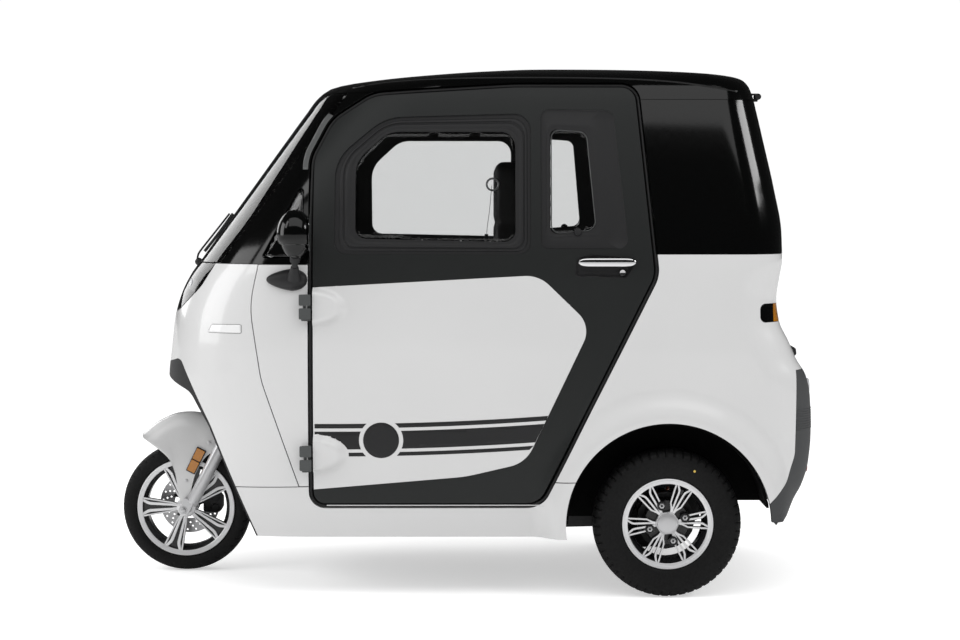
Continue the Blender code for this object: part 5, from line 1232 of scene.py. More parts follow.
def front_face(out):
    """Depth of the front spokes' machined face."""
    return -0.034 - 0.006 * out / 0.16


front_lip = ((-0.038, 0.1445), (-0.041, 0.1438), (-0.0424, 0.1455), (-0.0428, 0.1478), (-0.0438, 0.1482),
             (-0.0442, 0.1512), (-0.0452, 0.1518), (-0.0456, 0.1548), (-0.0468, 0.1556), (-0.0472, 0.1588),
             (-0.046, 0.1602), (-0.044, 0.1602), (-0.0428, 0.149), (-0.038, 0.1486))
front_barrel = ((-0.0382, 0.1438), (-0.02, 0.131), (0.02, 0.131), (0.041, 0.1435), (0.0455, 0.1435),
                (0.0455, 0.16), (0.043, 0.16), (0.0424, 0.1484), (0.018, 0.136), (-0.018, 0.136),
                (-0.0382, 0.148))
lip_ring = solid_piece("front_rim_lip", turned_ring(front_lip, FRONT_CENTRE, 120), MACHINED, crease=28)
placed(lip_ring, "front_wheel", "alloy", "front_rim")
barrel_ring = solid_piece("front_rim_barrel", turned_ring(front_barrel, FRONT_CENTRE, 120), DARK_ALLOY,
                          crease=28)
placed(barrel_ring, "front_wheel", "alloy")
arm = joined(*[
    spoke_bar(path, front_face, -0.02)
    for bar_path in (FRONT_OUTER_BAR, FRONT_INNER_BAR) for path in (bar_path, mirrored_path(bar_path))
])
spokes = solid_piece("front_spokes", around_wheel(arm, FRONT_CENTRE, FRONT_ARMS), MACHINED, crease=30)
second_finish(spokes, DARK_ALLOY, lambda middle, normal: np.abs(normal[:, 1]) < 0.45)
placed(spokes, "front_wheel", "alloy")
web_path = [(0.026, 0.0, 0.009), (0.05, 0.0, 0.015), (0.1, 0.0, 0.0232), (0.144, 0.0, 0.0305)]
web = spoke_bar(web_path, lambda out: front_face(out) + 0.0065, -0.012)
webs = solid_piece("front_spoke_webs", around_wheel(web, FRONT_CENTRE, FRONT_ARMS), DARK_ALLOY, crease=30)
placed(webs, "front_wheel", "alloy")
hub_shape = turned_shape(((-0.059, 0.006), (-0.06, 0.015), (-0.056, 0.019), (-0.042, 0.021),
                          (-0.038, 0.03), (-0.03, 0.034), (0.03, 0.032), (0.054, 0.026)),
                         FRONT_CENTRE, steps=64)
hub = solid_piece("front_hub", hub_shape, MACHINED, crease=30)
placed(hub, "front_wheel", "alloy")


# Tyres. The section is a smooth curve from bead to bead; grooves lower it by a
# periodic function of the way round and the place across.

def tyre_shape(section, centre, steps, groove):
    """A tyre: its outer section turned about the axle, lowered by its grooves, closed inside at the beads."""
    outer = smooth_line(section, 60)
    across, radius = outer[:, 0], outer[:, 1]
    slope = np.gradient(outer, axis=0)
    normal = np.stack([-slope[:, 1], slope[:, 0]], axis=1)
    normal /= np.linalg.norm(normal, axis=1)[:, None]
    normal *= np.where(normal[len(normal) // 2, 1] > 0, 1.0, -1.0)
    turn = np.linspace(0, 2 * math.pi, steps, endpoint=False)
    depth = groove(turn[:, None], across[None], radius[None])
    y = across[None] - normal[None, :, 0] * depth
    r = radius[None] - normal[None, :, 1] * depth
    inside_edge = section[0][1] - 0.0118
    y = np.hstack([y, np.full((steps, 1), section[-1][0] * 0.97),
                   np.full((steps, 1), section[0][0] * 0.97)])
    r = np.hstack([r, np.full((steps, 1), inside_edge), np.full((steps, 1), inside_edge)])
    grid = np.stack([r * np.cos(turn)[:, None], y, r * np.sin(turn)[:, None]], axis=2) + np.array(centre)
    return grid, ring_faces(steps, grid.shape[1])


def notch(value, width, edge=0.08):
    """1 inside a share of each period and 0 elsewhere, with short slopes."""
    place = np.abs((value % 1.0) - 0.5) * 2
    return np.clip((place - (1 - width)) / edge, 0, 1)


def zone(value, low, high, edge):
    """1 between two limits, falling to 0 past them."""
    return np.clip((value - low) / edge, 0, 1) * np.clip((high - value) / edge, 0, 1)


def mirrored_section(half):
    """A section from its left half, whose last point lies on the middle."""
    return list(half) + [(-y, r) for y, r in reversed(half[:-1])]


def rear_groove(turn, across, radius):
    """Cross grooves of the shoulder blocks, three grooves round the tread and a line on the side wall."""
    way = turn / (2 * math.pi)
    side = np.abs(across)
    blocks = notch(way * 52 + 0.25 * np.sign(across), 0.22)
    blocks = blocks * zone(radius, 0.2075, 0.24, 0.002) * zone(side, 0.026, 0.09, 0.002)
    middle = notch(way * 52 + side * 14, 0.16)
    middle = middle * zone(side, -0.01, 0.026, 0.002) * zone(radius, 0.22, 0.25, 0.002)
    around = np.clip(zone(side, 0.0235, 0.0275, 0.001) + zone(across, -0.0022, 0.0022, 0.001), 0, 1)
    ridge = zone(radius, 0.1985, 0.2015, 0.001) * zone(side, 0.05, 0.09, 0.005)
    line = zone(radius, 0.2035, 0.206, 0.0008) * zone(side, 0.05, 0.09, 0.005)
    return 0.0035 * blocks + 0.0025 * middle + 0.0045 * around - 0.0012 * ridge + 0.0015 * line


def front_groove(turn, across, radius):
    """Slanted sipes from the middle to the shoulders, as on a road tyre."""
    way = turn / (2 * math.pi)
    side = np.abs(across)
    long_sipes = notch(way * 40 + side * 22, 0.2)
    long_sipes = long_sipes * zone(side, 0.007, 0.041, 0.003) * zone(radius, 0.185, 0.25, 0.003)
    short_sipes = notch(way * 40 + 0.5 + side * 22, 0.16)
    short_sipes = short_sipes * zone(side, 0.025, 0.049, 0.003) * zone(radius, 0.18, 0.25, 0.003)
    line = zone(radius, 0.1735, 0.1755, 0.0008)
    return 0.003 * np.maximum(long_sipes, short_sipes) - 0.0008 * line


rear_section = mirrored_section(((-0.057, 0.1412), (-0.064, 0.145), (-0.07, 0.16), (-0.0722, 0.178),
                                 (-0.0712, 0.195), (-0.0675, 0.209), (-0.06, 0.2195), (-0.045, 0.2262),
                                 (-0.022, 0.2286), (0.0, 0.229)))
tyre = solid_piece("rear_tyre_tread", tyre_shape(rear_section, REAR_CENTRE, 520, rear_groove), TYRE,
                   crease=32)
both_sides(tyre, "rear_wheel_*", "tyre_rubber", ["rear_tyre_*"])
front_section = mirrored_section(((-0.041, 0.1612), (-0.0455, 0.165), (-0.049, 0.175), (-0.0498, 0.184),
                                  (-0.047, 0.1945), (-0.039, 0.2035), (-0.025, 0.209), (0.0, 0.2115)))
tyre = solid_piece("front_tyre_tread", tyre_shape(front_section, FRONT_CENTRE, 480, front_groove), TYRE,
                   crease=32)
placed(tyre, "front_wheel", "tyre_rubber", "front_tyre")

DOT_PAINT = surface_material("balance_dot", (0.75, 0.52, 0.1), 0.5, grain=300)
dot_shape = turned_shape(((-0.0728, 0.001), (-0.073, 0.0036), (-0.07, 0.0036)),
                         wheel_place(REAR_CENTRE, 0.183, 64), steps=20)
dot = solid_piece("rear_tyre_dot", dot_shape, DOT_PAINT)
both_sides(dot, "rear_wheel_*", "tyre_rubber")


# Front brake: a drilled disc on the wheel's far side, with two rows of holes and a
# black carrier, and a black caliper with two pistons on the fork.

def flat_plate(name, outer, holes, y, thickness, material):
    """A plate in side view with holes, from constrained triangles, given its thickness afterwards."""
    def wanted(points):
        return inside(points, outer) & ~np.any([inside(points, hole) for hole in holes], axis=0)

    spots, faces = filled([outer] + holes, [], wanted)
    surface = np.stack([spots[:, 0], np.full(len(spots), y), spots[:, 1]], axis=1)
    piece = mesh_piece(name, surface, facing_out(surface, faces, (0, 10, 0)), material, smooth=False)
    wall = piece.modifiers.new("Wall", "SOLIDIFY")
    wall.thickness = thickness
    wall.offset = -1.0
    return piece

BRAKE_Y = 0.059
axle = (FRONT_CENTRE[0], FRONT_CENTRE[2])
holes = [circle(0.052, axle, 72)]
for row, radius in enumerate((0.066, 0.078, 0.09)):
    for angle in 2 * math.pi * (np.arange(20) + 0.33 * row) / 20:
        place = (axle[0] + radius * math.cos(angle), axle[1] + radius * math.sin(angle))
        holes.append(circle(0.0034, place, 12))
brake = flat_plate("front_disc_drilled", circle(0.0995, axle, 160), holes, BRAKE_Y - 0.002, 0.004, STEEL)
placed(brake, "front_wheel", "bare_metal", "front_brake_disc")
carrier_parts = [turned_ring(((0.0545, 0.012), (0.0545, 0.034), (0.0615, 0.034), (0.0615, 0.012)),
                             FRONT_CENTRE)]
carrier_arm = spoke_bar([(0.03, 0.0, 0.0075), (0.046, 0.004, 0.005), (0.058, 0.01, 0.0055)],
                        lambda out: 0.0548 + 0 * out, 0.0612)
carrier_parts.append(around_wheel(carrier_arm, FRONT_CENTRE, [2 * math.pi * k / 5 for k in range(5)]))
carrier = solid_piece("front_disc_carrier", joined(*carrier_parts), DARK_ALLOY)
placed(carrier, "front_wheel", "bare_metal")

caliper_parts = []
for dz in (-0.014, 0.021):
    caliper_parts.append(turned_shape(((0.0395, 0.006), (0.039, 0.012), (0.04, 0.0138), (0.046, 0.0145)),
                                      (FRONT_CENTRE[0] + 0.086, 0.0, FRONT_CENTRE[2] + dz), steps=32))
pistons = solid_piece("caliper_pistons", joined(*caliper_parts), TRIM, crease=25)
placed(pistons, "steering", "frame_steel")


# Small solids of the outside. Round forms are superellipsoids, rods turned along a
# line and bars swept along a curve.

def egg(centre, radii, power=2.0, rows=28, columns=48):
    """A superellipsoid with its poles along z: each level is an ellipse that shrinks towards both poles."""
    lift = np.linspace(-0.985, 0.985, rows)[:, None] * math.pi / 2
    turn = np.linspace(0, 2 * math.pi, columns, endpoint=False)[None]
    ring = np.cos(lift) ** (2 / power)
    height = np.sign(lift) * np.abs(np.sin(lift)) ** (2 / power)
    across, deep = superellipse(turn, power)
    grid = np.stack(np.broadcast_arrays(ring * across, ring * deep, height + 0 * turn), axis=2)
    faces = ring_faces(rows, columns, around_rows=False, caps=True)
    return grid * np.array(radii) + np.array(centre), faces


def rod_shape(start, end, profile, steps=40):
    """A shape turned about the line from start to end; its profile is pairs of way along and radius."""
    start, end, profile = np.array(start, float), np.array(end, float), np.array(profile, float)
    way = (end - start) / np.linalg.norm(end - start)
    side = np.cross(way, (0, 1, 0) if abs(way[1]) < 0.9 else (1, 0, 0))
    side /= np.linalg.norm(side)
    turn = np.linspace(0, 2 * math.pi, steps, endpoint=False)[None, :, None]
    ring = side * np.cos(turn) + np.cross(way, side) * np.sin(turn)
    grid = start + way * profile[:, None, :1] + ring * profile[:, None, 1:]
    return grid, ring_faces(len(profile), steps, around_rows=False, caps=True)


def swept_shape(path, half_side, half_up, reference=(0.0, 1.0, 0.0), count=48, sides=16, power=2.0):
    """A bar along a smooth curve; its section is a superellipse with one half size along the reference."""
    line = smooth_line(path, count)
    way = np.gradient(line, axis=0)
    way /= np.linalg.norm(way, axis=1)[:, None]
    across = np.cross(way, reference)
    across /= np.linalg.norm(across, axis=1)[:, None]
    side = np.cross(across, way)
    turn = np.linspace(0, 2 * math.pi, sides, endpoint=False)
    first = np.sign(np.cos(turn)) * np.abs(np.cos(turn)) ** (2 / power) * half_side
    second = np.sign(np.sin(turn)) * np.abs(np.sin(turn)) ** (2 / power) * half_up
    grid = line[:, None] + side[:, None] * first[None, :, None] + across[:, None] * second[None, :, None]
    return grid, ring_faces(count, sides, around_rows=False, caps=True)


# Mirrors: a matt foot on the side cowl, a short stem and a glossy egg-shaped head with
# a collar line, its back cut flat for the mirror glass.

HEAD_CENTRE = (-0.4893, -0.622, 1.121)
head_points, head_faces = egg(HEAD_CENTRE, (0.055, 0.0575, 0.073), power=2.05, rows=96, columns=64)
collar = 1 - 0.03 * np.exp(-((head_points[..., 2] - 1.095) / 0.0022) ** 2)
collar = collar * (1 - 0.14 * np.clip((1.093 - head_points[..., 2]) / 0.004, 0, 1))
for axis in (0, 1):
    head_points[..., axis] = HEAD_CENTRE[axis] + (head_points[..., axis] - HEAD_CENTRE[axis]) * collar
head_points[..., 0] = np.minimum(head_points[..., 0], HEAD_CENTRE[0] + 0.044)
head = solid_piece("mirror_head", (head_points, head_faces), BLACK)
both_sides(head, "body", "black_paint", ["mirror_*"])
looking_glass = solid_piece("mirror_pane", egg((HEAD_CENTRE[0] + 0.0442, -0.622, 1.123),
    (0.0014, 0.044, 0.056),
                                               power=2.6, rows=40), CHROME)
both_sides(looking_glass, "body", "bare_metal")
foot_points, foot_faces = egg((-0.523, -0.53, 0.981), (0.063, 0.036, 0.035), power=2.3, rows=40)
taper = 1 - 0.45 * np.clip((-0.505 - foot_points[..., 0]) / 0.08, 0, 1)
foot_points[..., 1] = -0.53 + (foot_points[..., 1] + 0.53) * taper
foot_points[..., 2] = 0.983 + (foot_points[..., 2] - 0.983) * taper
stem = rod_shape((-0.499, -0.554, 0.985), (-0.49, -0.605, 1.074),
                 ((0.0, 0.022), (0.018, 0.018), (0.03, 0.014), (0.042, 0.012), (0.044, 0.0095),
                  (0.06, 0.0095),
                  (0.062, 0.015), (0.07, 0.016), (0.08, 0.015)))
foot = solid_piece("mirror_foot", joined((foot_points, foot_faces), stem), TRIM)
both_sides(foot, "body", "trim_plastic")


# Wiper: a domed pivot, a flat arm and a blade along the middle of the windscreen.

wiper_pivot = rod_shape((-0.838, 0.0, 0.999), (-0.872, 0.0, 1.03),
                        ((0.0, 0.0165), (0.018, 0.0165), (0.02, 0.013), (0.036, 0.0128), (0.042, 0.01),
                         (0.045, 0.004)))
wiper_arm = swept_shape(((-0.867, 0.0, 1.024), (-0.8655, 0.0, 1.04), (-0.856, 0.0, 1.058),
                         (-0.81, 0.0, 1.116), (-0.76, 0.0, 1.179)), 0.006, 0.003, power=3.5)
wiper_blade = swept_shape(((-0.843, 0.0, 1.055), (-0.795, 0.0, 1.116), (-0.7485, 0.0, 1.179)), 0.004, 0.005,
                          power=3.0)
wiper = solid_piece("wiper_arm", joined(wiper_pivot, wiper_arm, wiper_blade), TRIM)
placed(wiper, "body", "trim_plastic", "wiper")


# Mudguard over the front tyre: one crowned shell whose sides reach down to the axle. Its
# sections are superelliptic arches between a crest line and a foot line. A two-cell amber
# reflector and screws sit on each side.

FENDER_Y, FENDER_WALL, FENDER_POWER = 0.0765, 0.005, 3.0
FENDER_ROWS, FENDER_COLUMNS = 100, 61
FENDER_CREST = ((-0.729, 0.38), (-0.74, 0.432), (-0.8, 0.4985), (-0.862, 0.5215), (-0.93, 0.5215),
                (-0.985, 0.501), (-1.02, 0.479), (-1.045, 0.456))
FENDER_FOOT = ((-0.731, 0.374), (-0.815, 0.395), (-0.867, 0.33), (-0.893, 0.24), (-0.92, 0.24),
               (-0.934, 0.322), (-0.96, 0.381), (-1.038, 0.444))
crest, foot = smooth_line(FENDER_CREST, FENDER_ROWS), smooth_line(FENDER_FOOT, FENDER_ROWS)
arch = np.linspace(0, math.pi, FENDER_COLUMNS)
share = np.abs(np.sin(arch)) ** (2 / FENDER_POWER)
way_across = -np.sign(np.cos(arch)) * np.abs(np.cos(arch)) ** (2 / FENDER_POWER)
towards_wheel = np.array([FRONT_CENTRE[0], FRONT_CENTRE[2]]) - crest
inner_crest = crest + FENDER_WALL * towards_wheel / np.linalg.norm(towards_wheel, axis=1, keepdims=True)


def fender_layer(top, half_width):
    """Points of one side of the wall: superelliptic arches from the foot line over the crest."""
    rise = (top - foot)[:, None] * share[None, :, None]
    points = foot[:, None] + rise
    return np.stack([points[..., 0], way_across * half_width + 0 * points[..., 0],
                     points[..., 1]], axis=2)


fender_grid = np.concatenate([fender_layer(crest, FENDER_Y),
                              fender_layer(inner_crest, FENDER_Y - FENDER_WALL)[:, ::-1]], axis=1)
columns, last = np.arange(FENDER_COLUMNS - 1), 2 * FENDER_COLUMNS - 1
front_cap = np.stack([columns + 1, columns, last - columns, last - 1 - columns], axis=1)
rear_cap = np.stack([columns, columns + 1, last - 1 - columns, last - columns], axis=1)
rear_cap = rear_cap + (FENDER_ROWS - 1) * (last + 1)
fender_faces = np.concatenate([ring_faces(FENDER_ROWS, last + 1, around_rows=False), front_cap, rear_cap])
fender = mesh_piece("front_fender_skin", fender_grid.reshape(-1, 3), fender_faces, WHITE)
corners = fender_grid.reshape(-1, 3)[fender_faces]
turned_area = np.cross(corners[:, 1], corners[:, 2]) + np.cross(corners[:, 2], corners[:, 3])
if np.sum(corners[:, 0] * turned_area) < 0:
    fender.data.flip_normals()
rim = fender.modifiers.new("Edges", "BEVEL")
rim.width, rim.segments, rim.limit_method, rim.angle_limit = 0.0012, 2, "ANGLE", math.radians(60)
placed(fender, "steering", "white_paint", "front_fender")

REFLECTOR = np.array(((-0.8617, 0.4162), (-0.8327, 0.4012), (-0.8718, 0.3251), (-0.8992, 0.3391)))


def reflector_part(top, bottom, inset):
    """Rounded outline of a share of the reflector's length."""
    left = REFLECTOR[0] + (REFLECTOR[3] - REFLECTOR[0]) * np.array((top, bottom))[:, None]
    right = REFLECTOR[1] + (REFLECTOR[2] - REFLECTOR[1]) * np.array((top, bottom))[:, None]
    across = (right[0] - left[0]) / np.linalg.norm(right[0] - left[0]) * inset
    corners = (left[0] + across, left[1] + across, right[1] - across, right[0] - across)
    return rounded(tuple((*corner, 0.0025) for corner in corners))


rim_shape = slab(reflector_part(-0.01, 1.01, -0.0005), -0.08, -0.0764)
reflector_rim = solid_piece("fender_reflector_rim", rim_shape, TRIM, bevel=0.0008)
both_sides(reflector_rim, "steering", "trim_plastic")
cells = joined(slab(reflector_part(0.03, 0.48, 0.002), -0.0822, -0.0798),
               slab(reflector_part(0.52, 0.97, 0.002), -0.0822, -0.0798))
reflector = solid_piece("fender_reflector", cells, AMBER, bevel=0.001)
both_sides(reflector, "steering", "lamp_glass")
screw_parts = []
for x, z in ((-0.8229, 0.4298), (-0.8989, 0.3048)):
    screw_parts.append(turned_shape(((-0.08, 0.0012), (-0.0798, 0.0036), (-0.0785, 0.0052),
                                     (-0.0764, 0.0056)),
                                    (x, 0.0, z), steps=24))
screws = solid_piece("fender_screws", joined(*screw_parts), STEEL)
both_sides(screws, "steering", "bare_metal")


# Fork: two satin legs with a seal collar and a square block at the axle, crown, yoke
# and stem, and the caliper on its bracket.

RAKE_SLOPE = math.tan(math.radians(27.5))


def steer_point(z, behind=0.0, y=0.0):
    """A point of the steering axis, or of a line beside it."""
    return (-0.8495 + behind + (z - 0.2115) * RAKE_SLOPE, y, z)


LEG_Y = 0.097
fork_parts = []
along_leg, across_leg = np.array((0.4617, 0.887)), np.array((0.887, -0.4617))
for y in (-LEG_Y, LEG_Y):
    fork_parts.append(rod_shape(steer_point(0.232, -0.0395, y), steer_point(0.585, -0.0395, y), (
        (0.0, 0.015), (0.002, 0.0188), (0.006, 0.02), (0.218, 0.02), (0.219, 0.0212), (0.234, 0.0212),
        (0.236, 0.0176), (0.397, 0.0176), (0.398, 0.015)), steps=64))
    block = [np.array((-0.897, 0.221)) + across_leg * a + along_leg * b
             for a, b in ((-0.0175, -0.02), (0.0175, -0.02), (0.0175, 0.026), (-0.0175, 0.026))]
    block_line = rounded(tuple((*corner, 0.003) for corner in block))
    fork_parts.append(slab(block_line, y - 0.016, y + 0.016))
    side = math.copysign(1.0, y)
    fork_parts.append(rod_shape((FRONT_CENTRE[0], y + side * 0.0155, FRONT_CENTRE[2]),
                               (FRONT_CENTRE[0], y + side * 0.03, FRONT_CENTRE[2]),
                               ((0.0, 0.0125), (0.002, 0.0125), (0.0022, 0.0092), (0.009, 0.0092),
                                (0.0105, 0.0072),
                                (0.0108, 0.003)), steps=30))
fork_parts.append(rod_shape((FRONT_CENTRE[0], -0.112, FRONT_CENTRE[2]),
                            (FRONT_CENTRE[0], 0.112, FRONT_CENTRE[2]),
                            ((0.0, 0.0074), (0.224, 0.0074))))
fork_legs = solid_piece("fork_legs", joined(*fork_parts), STEEL, bevel=0.001)
placed(fork_legs, "steering", "bare_metal", "fork")
fork_dark = [
    rod_shape(steer_point(0.555, -0.02, -LEG_Y), steer_point(0.555, -0.02, LEG_Y),
              ((0.0, 0.011), (0.004, 0.0165), (0.19, 0.0165), (0.194, 0.011))),
    rod_shape(steer_point(0.538), steer_point(0.576), ((0.0, 0.04), (0.004, 0.0445), (0.038, 0.0445),
        (0.043, 0.04))),
    rod_shape(steer_point(0.555), steer_point(0.985), ((0.0, 0.0138), (0.484, 0.0138))),
]
fork_crown = solid_piece("fork_crown", joined(*fork_dark), BLACK_STEEL)
placed(fork_crown, "steering", "frame_steel")
jaw = rounded(((-0.86, 0.183, 0.01), (-0.804, 0.1815, 0.014), (-0.794, 0.2, 0.012), (-0.794, 0.233, 0.012),
               (-0.807, 0.2495, 0.014), (-0.858, 0.247, 0.01)))
back = rounded(((-0.804, 0.187, 0.006), (-0.794, 0.199, 0.006), (-0.794, 0.234, 0.006),
                (-0.804, 0.246, 0.006)))
plate_line = rounded(((-0.896, 0.215, 0.004), (-0.822, 0.215, 0.004), (-0.822, 0.237, 0.004),
                      (-0.896, 0.237, 0.004)))
caliper = solid_piece("front_caliper", joined(slab(jaw, 0.044, 0.0512), slab(jaw, 0.0668, 0.08),
                                              slab(back, 0.048, 0.076), slab(plate_line, 0.0745, 0.098)),
                      BLACK_STEEL, bevel=0.0015)
placed(caliper, "steering", "frame_steel")


# Springs of the rear axle: an orange coil over a dark damper between two seats.

SPRING_X, SPRING_Y, SPRING_LOW_Z, SPRING_TOP_Z = 0.643, -0.225, 0.262, 0.4194
spring_turn = np.linspace(0, 2 * math.pi * 4.0, 161)
spring_rise = np.interp(spring_turn, (0, 3.0, 22.2, 25.2), (0.014, 0.018, 0.139, 0.1434))
coil_path = np.stack([SPRING_X + 0.026 * np.cos(spring_turn), SPRING_Y + 0.026 * np.sin(spring_turn),
                      SPRING_LOW_Z + spring_rise], axis=1)
coil = solid_piece("spring_coil", swept_shape(coil_path, 0.0042, 0.0042, (0, 0, 1), count=240, sides=12),
                   ORANGE)
both_sides(coil, "body", "spring_paint", ["shock_*"])
damper = solid_piece("spring_damper", rod_shape(
    (SPRING_X, SPRING_Y, SPRING_LOW_Z), (SPRING_X, SPRING_Y, SPRING_TOP_Z),
    ((0.0, 0.034), (0.001, 0.035), (0.008, 0.035), (0.0095, 0.03), (0.01, 0.018), (0.07, 0.0175),
     (0.072, 0.008), (0.147, 0.008), (0.1474, 0.03), (0.149, 0.035), (0.156, 0.035), (0.157, 0.034))),
    BLACK_STEEL)
both_sides(damper, "body", "frame_steel")


# Behind the smoked lamp band: a grey bowl that follows it, two round lamps on each
# side and a row of small lights along its rear edge. Beside it sit the side lamps.

LAMP_BOWL = surface_material("lamp_bowl", (0.15, 0.15, 0.155), 0.35, metallic=0.5, grain=300, vary=0.05)
LIGHT_DOME = surface_material("light_dome", (0.85, 0.86, 0.88), 0.15, coat=1.0, grain=500, vary=0.04,
                              tint=0.02)


def inner_panel(name, keep, cut, material, depth, chart="front", spacing=0.014, thickness=0.003):
    """A thin piece that follows the form at a depth below it; a negative depth lies over it."""
    spots, faces = region(keep, cut, spacing, chart)
    points, normal, _ = frame_on_form(spots, chart)
    piece = mesh_piece(name, points - normal * depth, facing_out(points, faces), material)
    return thickened(piece, thickness, edge=0.0, inner=material)


bowl = inner_panel("headlamp_bowl", [zone_of_headlamp(-0.001)], [], LAMP_BOWL, 0.024)
placed(bowl, "body", "lamp_glass")
round_lamps = []
for y, x in ((0.15, -0.866), (0.265, -0.845)):
    for side in (-1, 1):
        round_lamps.append(rod_shape((x - 0.012, side * y, 0.942), (x + 0.02, side * y, 0.942), (
            (0.0, 0.006), (0.0015, 0.018), (0.005, 0.028), (0.007, 0.03), (0.006, 0.034), (0.032, 0.034)),
            steps=48))
lamps = solid_piece("headlamp_lamps", joined(*round_lamps), LIGHT_DOME, crease=40)
placed(lamps, "body", "lamp_glass")
light_line = rounded(shifted(HEADLAMP_EDGE, -0.016, 0.012)[1:], closed=False)
light_line = sampled(light_line, 0.018, closed=False)
light_line = light_line[(light_line[:, 1] > 0.893) & (light_line[:, 1] < 1.016)]
light_points, light_normal, _ = frame_on_form(seen_from_side(light_line, closed=False)[::3], closed=False)
lights = joined(*[egg(point - normal * 0.0105, (0.0055, 0.0055, 0.0055), rows=10, columns=16)
                  for point, normal in zip(light_points, light_normal)])
light_row = solid_piece("headlamp_light_row", lights, LIGHT_DOME)
both_sides(light_row, "body", "lamp_glass")

side_lamp_zone = seen_from_side(rounded(((-0.777, 0.8166, 0.004), (-0.666, 0.8166, 0.004),
    (-0.666, 0.8425, 0.004),
                                         (-0.7617, 0.841, 0.006))))
side_lamp = inner_panel("side_lamp_lens", [side_lamp_zone], [], LAMP_CLEAR, -0.0016, "left", 0.008, 0.003)
both_sides(side_lamp, "body", "lamp_glass")
side_lamp_rim = bead("side_lamp_rim", side_lamp_zone, rounded_strip(0.003, -0.002, 0.0012, 5), TRIM)
both_sides(side_lamp_rim, "body", "trim_plastic")


# Black trim along the nose's lower edge: a wedge at the tip that narrows to a thin line.

trim_keep = seen_from_side(beyond(((-FAR, 0.7022, 0.0),) + shifted(NOSE_TRIM_EDGE, -0.0004, -0.0008),
                                  (-0.6214, 0.1875),
                                  (-FAR, 0.1875)))
nose_trim = panel("nose_edge_trim", [trim_keep], [BELOW_NOSE], TRIM, chart="front", spacing=0.012)
placed(nose_trim, "body", "trim_plastic")


# Pillars: a satin strip beside the door's front top corner, and the roof's drip lip.

strip_outer = seen_from_side(rounded(grown(DOOR_OUTLINE, 0.037)))
strip_inner = seen_from_side(rounded(grown(DOOR_OUTLINE, 0.02)))
strip_band = seen_from_side(np.array(((-0.53, 1.318), (-0.38, 1.318), (-0.38, 1.48), (-0.42, 1.5),
                                      (-0.53, 1.5))))
satin_strip = inner_panel("pillar_strip", [strip_outer, strip_band], [strip_inner], SATIN, -0.0006, "left",
                          0.008,
                          0.001)
both_sides(satin_strip, "body", "trim_plastic")
lip_line = smooth_line(((-0.33, 1.574), (-0.2, 1.59), (0.05, 1.601), (0.4, 1.601), (0.65, 1.59),
                        (0.86, 1.56)), 80)
drip_lip = bead("roof_drip_lip", seen_from_side(lip_line, closed=False),
                rounded_strip(0.007, -0.003, 0.0028, 7),
                BLACK, closed=False)
both_sides(drip_lip, "body", "black_paint")


# Rear: side lamps with a black wedge, an amber end and a red face, reflectors and ribs
# on the bumper, a blank number plate with its lamp, and the hatch's hinges and handle.

for stem, low_x, high_x, look in (("black", 0.9, 0.97, BLACK), ("amber", 0.97, 0.992, AMBER),
                                  ("red", 0.992, FAR, RED)):
    corner_part = seen_from_side(rectangle(low_x + 0.0003, 0.8, high_x - 0.0003, 0.95))
    lamp = panel("tail_lamp_" + stem, [zone_of_lamp(0.0), corner_part], [tail_edge], look, thickness=0.02,
                 spacing=0.008)
    both_sides(lamp, "body", "lamp_glass", ["tail_lamp_*"] if stem == "red" else [])

rib_heights = np.arange(0.518, 0.579, 0.0075)
for number, height in enumerate(rib_heights):
    across = seen_from_behind(np.array(((-0.5, height), (-0.17, height))), closed=False)
    line = across[across[:, 0] > U_MARKS[1] + 0.02]
    rib = bead("bumper_rib_%d" % number, line, rounded_strip(0.0042, -0.002, 0.0016, 5), BUMPER,
               closed=False)
    both_sides(rib, "body", "bumper_plastic")

REFLECTOR_SILVER = surface_material("reflector_silver", (0.62, 0.62, 0.64), 0.16, coat=1.0, grain=900,
                                    depth=0.0002,
                                    vary=0.04)
round_spot = seen_from_behind(np.array(((-0.3, 0.632), (-0.29, 0.632))), closed=False)[:1]
low_spot = seen_from_behind(np.array(((-0.33, 0.385), (-0.32, 0.385))), closed=False)[:1]
for stem, spot, radius, look in (("bumper_lamp_round", round_spot, 0.029, REFLECTOR_SILVER),
                                 ("bumper_reflector_red", low_spot, 0.018, RED)):
    place = on_form(spot, "left")[0]
    shape = rod_shape(place + np.array((-0.01, 0.0, 0.0)), place + np.array((0.01, 0.0, 0.0)),
                      ((0.0, radius), (0.0135, radius), (0.015, radius - 0.002), (0.014, radius - 0.0035),
                       (0.016, radius * 0.5), (0.0165, 0.001)), steps=48)
    both_sides(solid_piece(stem, shape, look), "body", "lamp_glass")


def slab_across(outline, low_x, high_x):
    """A plate with an outline seen from behind, between two depths along the vehicle."""
    outline = np.asarray(outline)
    near = np.stack([np.full(len(outline), low_x), outline[:, 0], outline[:, 1]], axis=1)
    faces = ring_faces(2, len(outline), around_rows=False, caps=True)
    return np.concatenate([near, near + (high_x - low_x, 0, 0)]), faces


def box_outline(half_width, low_z, high_z, radius):
    """Rounded outline, seen from behind, of a rectangle on the vehicle's middle."""
    return rounded(((-half_width, low_z, radius), (half_width, low_z, radius), (half_width, high_z, radius),
                    (-half_width, high_z, radius)))


